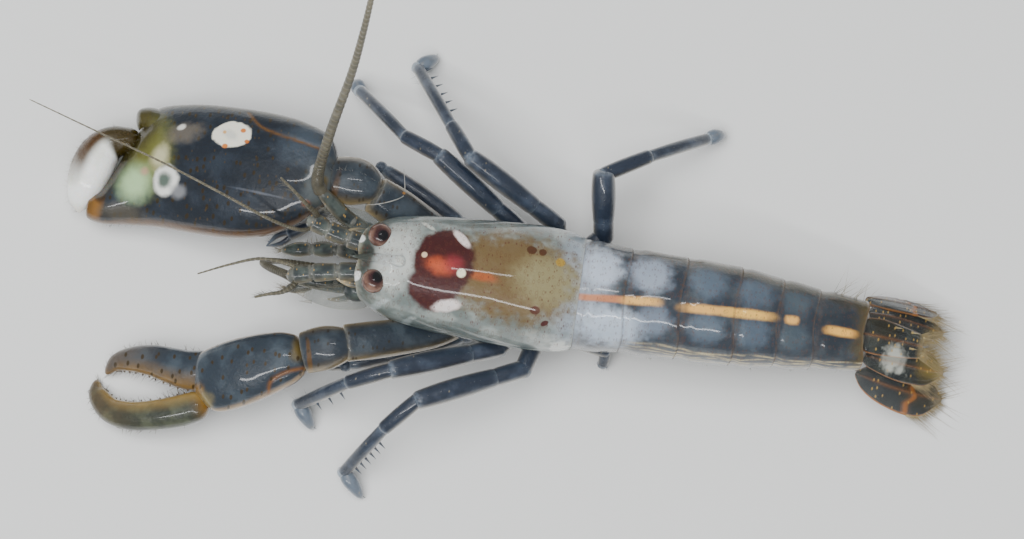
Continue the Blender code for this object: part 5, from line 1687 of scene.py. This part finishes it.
@dataclass
class AntennaBase(Assembly):
    """The outer feeler's base: a round block, a flat scale with a spine, and a stalk."""

    side: Side
    scale: Knots
    stalk: Knots
    block: Triple = (0.15, 0.72, 2.14)
    block_radii: Triple = (0.34, 0.30, 0.30)
    scale_widths: tuple[float, ...] = (0.22, 0.30, 0.27, 0.18, 0.06)
    stalk_widths: tuple[float, ...] = (0.20, 0.22, 0.21, 0.19, 0.14)

    def build(self) -> list[Part]:
        """Carves the base and its scale."""
        sign = float(self.side.value)
        base = Carving(Seed.FEELER_BASE + self.side.value)
        leaf = Carving(Seed.FEELER_SCALE + self.side.value)
        rings = ellipsoid((self.block[0], self.block[1] * sign, self.block[2]), self.block_radii, 30, 40)
        base.add_rings(rings)
        segment(base, self.stalk, self.stalk_widths, self.stalk_widths, rows=50, sides=28, joint=0.05)
        knob(base, spline(self.stalk, np.array([0.42]))[0], 0.225)
        spike = np.array([(-0.02, 0.92 * sign, 1.98), (-0.30, 1.0 * sign, 1.94), (-0.56, 1.02 * sign, 1.92)])
        segment(base, spike, (0.09, 0.07, 0.012), (0.07, 0.05, 0.012), ends=(0.1, 0.02), tip=0.9, sides=16)
        share = np.linspace(0.0, 1.0, 60)
        half = swelling(self.scale_widths, share, 0.12, 0.25, 0.03)
        thick = 0.06 * (1.3 - 0.8 * share) * np.maximum(rounded(share, 0.05, 0.05), 0.1)
        rings, angle = tube(spline(self.scale, share), half, thick, 56, UP + (0.0, 0.25 * sign, 0.0), 2.0)
        level = np.cos(angle)
        leaf.add_rings(rings, {
            Mask.FLANK: smooth_step(np.abs(level), 0.9, 0.99), Mask.SEAM: 0.7 * hump(level, 0.2, 0.08),
            Mask.TIP: smooth_step(share, 0.8, 1.0)[:, None],
        })
        ahead = unit(np.asarray(self.scale[-1], float) - np.asarray(self.scale[0], float))
        inner, outer = sorted((0, 28), key=lambda column: rings[30, column, 1] * sign)
        leaf.add_bristles(rings[46, outer][None], ahead[None], np.array([0.34]), 0.05, 0.0, 0.9)
        hairs_along(leaf, rings[:, inner], 110, ahead - (0.0, 0.35 * sign, 0.0), 0.34, (0.35, 1.0), 0.12,
                    0.007)
        node = f"antenna_{self.side.word}"
        return [
            Part(f"{node}_base", base, Look.MOUTH, "feeler", (node,)),
            Part(f"{node}_scale", leaf, Look.SCALE, "feeler"),
        ]


@dataclass
class MouthLegs(Assembly):
    """The third pair of mouth legs, held out below the head, with brushes of hair at their ends."""

    paths: dict[Side, Knots] = field(default_factory=lambda: {
        Side.RIGHT: ((1.20, 0.34, 1.22), (0.10, 0.34, 1.26), (-0.90, 0.30, 1.18), (-1.90, 0.16, 0.98)),
        Side.LEFT: ((1.20, -0.34, 1.22), (0.10, -0.38, 1.24), (-0.80, -0.52, 1.14), (-1.66, -0.80, 0.96)),
    })
    shares: tuple[float, ...] = (0.0, 0.55, 0.74, 1.0)
    widths: tuple[float, ...] = (0.22, 0.20, 0.19)

    def build(self) -> list[Part]:
        """Carves both."""
        return [self._limb(side) for side in Side]

    def _limb(self, side: Side) -> Part:
        """One limb of three joints."""
        limb = Carving(Seed.MOUTH_LEG + side.value)
        path = self.paths[side]
        for low, high, width in zip(self.shares, self.shares[1:], self.widths):
            piece = spline(path, np.linspace(low, high, 5))
            end = 0.35 if high == 1.0 else 0.8
            segment(limb, piece, (0.8 * width, width, end * width), (0.7 * width, 0.85 * width, end * width),
                    sides=24)
            knob(limb, piece[0], 0.72 * width)
        hairs_along(limb, path, 150, (-1.0, 0.0, -0.35), 0.46, (0.72, 1.0), 0.32, 0.007)
        hairs_along(limb, path, 50, (-0.3, 0.8 * side.value, -0.2), 0.3, (0.3, 0.8), 0.3, 0.006, 0.15)
        return Part(f"mouth_leg_{side.word}", limb, Look.MOUTH, "leg", (f"maxilliped_{side.word}",))


@dataclass
class Swimmeret(Assembly):
    """A swimmeret: a short stem and two overlapping paddles fringed with hairs."""

    number: int
    side: Side
    front: float
    back: float
    tip_height: float = 0.60
    widths: tuple[float, ...] = (0.10, 0.24, 0.27, 0.22, 0.10)

    def build(self) -> list[Part]:
        """Carves the swimmeret."""
        paddle = Carving(Seed.SWIMMERET + self.number * 2 + self.side.value)
        sign = float(self.side.value)
        x = self.front + 0.42 * (self.back - self.front)
        half, _, belly = BODY.at(np.array([x]))[0]
        root = np.array([x, 0.42 * half * sign, belly + 0.2])
        knee = root + (0.06, 0.06 * sign, -0.48)
        segment(paddle, np.array([root, (root + knee) / 2, knee]), (0.20, 0.20, 0.15), (0.18, 0.17, 0.13),
                np.array([1.0, 0.0, 0.0]))
        for lean, reach in ((0.10, 1.0), (-0.12, 0.88)):
            tip = np.array([x + 0.46 * reach, root[1] * 1.05 + lean * sign, self.tip_height])
            path = np.array([knee, (knee + tip) / 2 + (0.02, lean * 0.5 * sign, 0.0), tip])
            share = np.linspace(0.0, 1.0, 40)
            width = swelling(self.widths, share, 0.1, 0.2, 0.04)
            rings, angle = tube(spline(path, share), width, 0.035 * np.maximum(rounded(share, 0.1, 0.1), 0.1),
                                36, np.array([0.0, 1.0, 0.0]), 2.0)
            level = np.abs(np.cos(angle))
            paddle.add_rings(rings, {Mask.FLANK: smooth_step(level, 0.9, 0.99),
                                     Mask.SEAM: 0.6 * hump(level, 0, 0.1)})
            for column in (0, 18):
                away = unit(rings[20, column] - rings[20].mean(axis=0))
                hairs_along(paddle, rings[:, column], 40, away + unit(tip - knee), 0.22, (0.3, 1.0), 0.15,
                            0.006)
        name = f"pleopod_{self.number}_{self.side.word}"
        return [Part(f"swimmeret_{self.number}_{self.side.word}", paddle, Look.PALE_FIN, "leg", (name,))]


WALKING_LEGS = (
    Leg(3, Side.RIGHT, ((4.10, 1.00, 1.30), (3.92, 1.48, 1.50), (1.72, 2.89, 2.30), (0.81, 3.28, 2.00),
                        (-0.53, 4.52, 0.55), (-0.65, 4.76, 0.02)), 5),
    Leg(4, Side.RIGHT, ((5.02, 1.00, 1.30), (4.86, 1.68, 1.65), (2.49, 2.90, 2.65), (1.93, 3.68, 2.10),
                        (0.83, 5.33, 0.45), (1.30, 5.74, 0.02)), 6),
    Leg(5, Side.RIGHT, ((5.45, 0.95, 1.30), (6.05, 1.60, 1.50), (5.83, 2.99, 2.30), (6.89, 3.66, 1.90),
                        (8.32, 4.54, 0.55), (8.74, 4.78, 0.02)), 7, (0.24, 0.30, 0.20, 0.165, 0.115)),
    Leg(3, Side.LEFT, ((4.25, -0.95, 1.30), (3.85, -1.58, 1.48), (1.28, -2.61, 2.35), (0.28, -3.01, 1.95),
                       (-0.94, -3.58, 0.50), (-0.50, -4.10, 0.02)), 4),
    Leg(4, Side.LEFT, ((4.84, -0.95, 1.30), (4.52, -2.04, 1.60), (2.02, -3.27, 2.30), (1.32, -4.01, 1.90),
                       (0.43, -5.10, 0.45), (0.98, -5.66, 0.02)), 7),
    Leg(5, Side.LEFT, ((5.44, -0.80, 1.26), (5.64, -1.04, 0.90), (6.52, -1.16, 0.62), (6.50, -1.42, 0.30),
                       (6.49, -1.45, 0.04)), 3, (0.22, 0.2, 0.2, 0.14, 0.08)),
)
PINCER_LEGS = (
    PincerLeg(Side.RIGHT, ((3.26, 0.90, 1.16), (2.54, 1.44, 1.18), (0.30, 2.55, 1.30), (-1.25, 0.98, 0.66),
                           (-2.32, 0.32, 0.22))),
    PincerLeg(Side.LEFT, ((3.55, -0.75, 1.14), (3.02, -1.36, 1.12), (0.12, -2.52, 1.14), (-1.25, -2.50, 0.62),
                          (-2.30, -2.86, 0.22))),
)
WHIPS = (
    Whip("antennule_right_flagellum_inner", (
        (-1.10, 0.66, 2.84), (-1.30, 0.50, 2.82), (-1.72, 0.49, 2.98), (-2.45, 0.66, 3.28),
        (-3.40, 1.01, 3.36), (-4.98, 1.58, 3.34), (-6.66, 2.13, 3.20), (-8.56, 2.78, 2.82)), 0.062, 0.014),
    Whip("antennule_right_flagellum_outer", (
        (-1.06, 0.84, 2.90), (-1.10, 0.92, 3.10), (-1.28, 1.00, 3.46), (-1.62, 1.22, 3.90),
        (-2.04, 1.50, 4.25)),
        0.095, 0.025, tufted=True),
    Whip("antennule_left_flagellum_inner", (
        (-1.38, -0.50, 2.44), (-1.56, -0.38, 2.52), (-2.31, -0.33, 2.50), (-3.05, -0.55, 2.30),
        (-3.84, -0.86, 2.00)),
        0.07, 0.02),
    Whip("antennule_left_flagellum_outer", (
        (-1.36, -0.76, 2.46), (-1.46, -0.94, 2.50), (-1.70, -1.08, 2.42), (-2.02, -1.16, 2.30),
        (-2.34, -1.26, 2.14)),
        0.095, 0.025, tufted=True),
    Whip("antenna_right_flagellum", (
        (-1.06, 1.48, 3.02), (-1.16, 1.68, 3.30), (-1.13, 2.02, 3.84), (-0.93, 2.85, 4.95),
        (-0.61, 3.94, 6.35), (-0.44, 4.84, 7.30), (-0.32, 5.78, 8.10)), 0.18, 0.075),
    Whip("antenna_left_flagellum", (
        (-1.46, -0.60, 1.68), (-1.64, -0.52, 1.62), (-2.10, -0.36, 1.36), (-2.30, -0.18, 0.86),
        (-1.90, -0.04, 0.42), (-0.90, 0.00, 0.28), (1.20, 0.05, 0.27), (3.20, 0.00, 0.27),
        (4.74, -0.05, 0.27)), 0.13, 0.03),
)
ANTENNA_BASES = (
    AntennaBase(Side.RIGHT, ((0.55, 0.86, 2.30), (-0.20, 1.02, 2.40), (-0.95, 1.20, 2.60)),
                ((0.45, 0.62, 2.16), (-0.34, 1.00, 2.34), (-1.10, 1.52, 3.02))),
    AntennaBase(Side.LEFT, ((0.55, -0.86, 2.20), (-0.40, -0.98, 2.04), (-1.34, -0.96, 1.82)),
                ((0.45, -0.60, 2.10), (-0.50, -0.62, 1.84), (-1.50, -0.58, 1.68))),
)


def swimmerets(abdomen: Abdomen) -> tuple[Swimmeret, ...]:
    """One pair of swimmerets under each of the first five rings of the abdomen."""
    spans = list(zip(abdomen.joints, abdomen.joints[1:]))[:5]
    return tuple(
        Swimmeret(index + 1, side, front, back) for index, (front, back) in enumerate(spans) for side in Side
    )


@dataclass
class Lamp:
    """An area light aimed at the body. Its strength is what it gives a white floor, whatever its distance."""

    name: str
    way: Triple
    strength: float
    size: tuple[float, float]
    distance: float = 0.12
    mirrored: bool = True    # whether it shows as a gleam on wet shell
    aim: Triple = (4.0, 0.0, 1.5)

    def build(self) -> None:
        """Adds the light to the scene."""
        light = bpy.data.lights.new(self.name, "AREA")
        light.shape = "RECTANGLE"
        light.size, light.size_y = self.size
        light.energy = self.strength * (math.pi * self.distance) ** 2
        target = Vector((np.asarray(self.aim) - SNOUT_PLACE) * MM)
        way = Vector(self.way).normalized()
        lamp = bpy.data.objects.new(self.name, light)
        lamp.location = target + way * self.distance
        lamp.rotation_euler = way.to_track_quat("Z", "Y").to_euler()
        lamp.visible_glossy = self.mirrored
        bpy.context.scene.collection.objects.link(lamp)


@dataclass
class Studio:
    """The pale floor, the soft light and the camera at the photograph's angle."""

    floor_size: float = 1.2
    world_level: float = 0.34
    tilt: float = 8.0            # degrees that the camera leans back from straight down
    turn: float = 8.0            # degrees that the body is turned in the picture
    distance: float = 0.1422
    lens: float = 200.0
    sensor: float = 36.0
    clip: tuple[float, float] = (0.01, 2.0)
    sky: Triple = (0.96, 0.98, 1.0)
    aim: Triple = (3.902, 0.420, 1.5)
    lamps: tuple[Lamp, ...] = (
        Lamp("wide_soft_light", (-0.35, -0.06, 1.3), 1.32, (0.16, 0.16), 0.20, False),
        Lamp("long_strip_light", (-0.17, -0.58, 0.92), 0.27, (0.105, 0.007)),
        Lamp("second_strip_light", (-0.02, 0.13, 1.0), 0.035, (0.035, 0.003)),
    )

    def build(self) -> None:
        """Builds floor, world, lamps and camera."""
        self._floor()
        self._world()
        for lamp in self.lamps:
            lamp.build()
        self._camera()

    def _floor(self) -> None:
        """A big square just under the feet."""
        half = self.floor_size / 2
        mesh = bpy.data.meshes.new("studio_floor")
        mesh.from_pydata([(-half, -half, 0), (half, -half, 0), (half, half, 0), (-half, half, 0)], [],
                         [(0, 1, 2, 3)])
        mesh.materials.append(FloorFinish().build())
        floor = bpy.data.objects.new("studio_floor", mesh)
        bpy.context.scene.collection.objects.link(floor)

    def _world(self) -> None:
        """Even grey light from all round."""
        world = bpy.data.worlds.new("studio_world")
        world.use_nodes = True
        world.node_tree.nodes["Background"].inputs["Color"].default_value = (*self.sky, 1.0)
        world.node_tree.nodes["Background"].inputs["Strength"].default_value = self.world_level
        bpy.context.scene.world = world

    def _camera(self) -> None:
        """Looks down at the back, leaning by the tilt, with the picture turned against the body."""
        tilt, turn = math.radians(self.tilt), math.radians(self.turn)
        look = Vector((0.0, math.sin(tilt), -math.cos(tilt)))
        east, north = Vector((1.0, 0.0, 0.0)), Vector((0.0, math.cos(tilt), math.sin(tilt)))
        right = east * math.cos(turn) + north * math.sin(turn)
        up = north * math.cos(turn) - east * math.sin(turn)
        data = bpy.data.cameras.new("photo_camera")
        data.lens, data.sensor_width = self.lens, self.sensor
        data.clip_start, data.clip_end = self.clip
        camera = bpy.data.objects.new("photo_camera", data)
        camera.rotation_euler = Matrix((right, up, -look)).transposed().to_euler()
        camera.location = Vector((np.asarray(self.aim) - SNOUT_PLACE) * MM) - look * self.distance
        bpy.context.scene.collection.objects.link(camera)
        bpy.context.scene.camera = camera


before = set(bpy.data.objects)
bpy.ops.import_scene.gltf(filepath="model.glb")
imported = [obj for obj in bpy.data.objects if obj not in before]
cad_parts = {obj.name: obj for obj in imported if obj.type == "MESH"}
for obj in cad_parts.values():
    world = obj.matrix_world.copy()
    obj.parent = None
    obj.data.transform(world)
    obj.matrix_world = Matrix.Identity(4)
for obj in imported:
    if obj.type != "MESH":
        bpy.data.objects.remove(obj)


def main() -> None:
    """Builds every sub-assembly over the frame, then the studio."""
    logging.basicConfig(level=logging.INFO, format="%(name)s %(message)s")
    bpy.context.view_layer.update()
    palette = Palette()
    abdomen = Abdomen()
    assemblies: tuple[Assembly, ...] = (
        HeadShield(), abdomen, TailFan(), GreatClaw(), LesserClaw(), Antennules(), MouthLegs(),
        *WALKING_LEGS, *PINCER_LEGS, *WHIPS, *ANTENNA_BASES, *swimmerets(abdomen),
    )
    for assembly in assemblies:
        assembly.dress(palette)
    Studio().build()


if __name__ == "__main__":
    main()
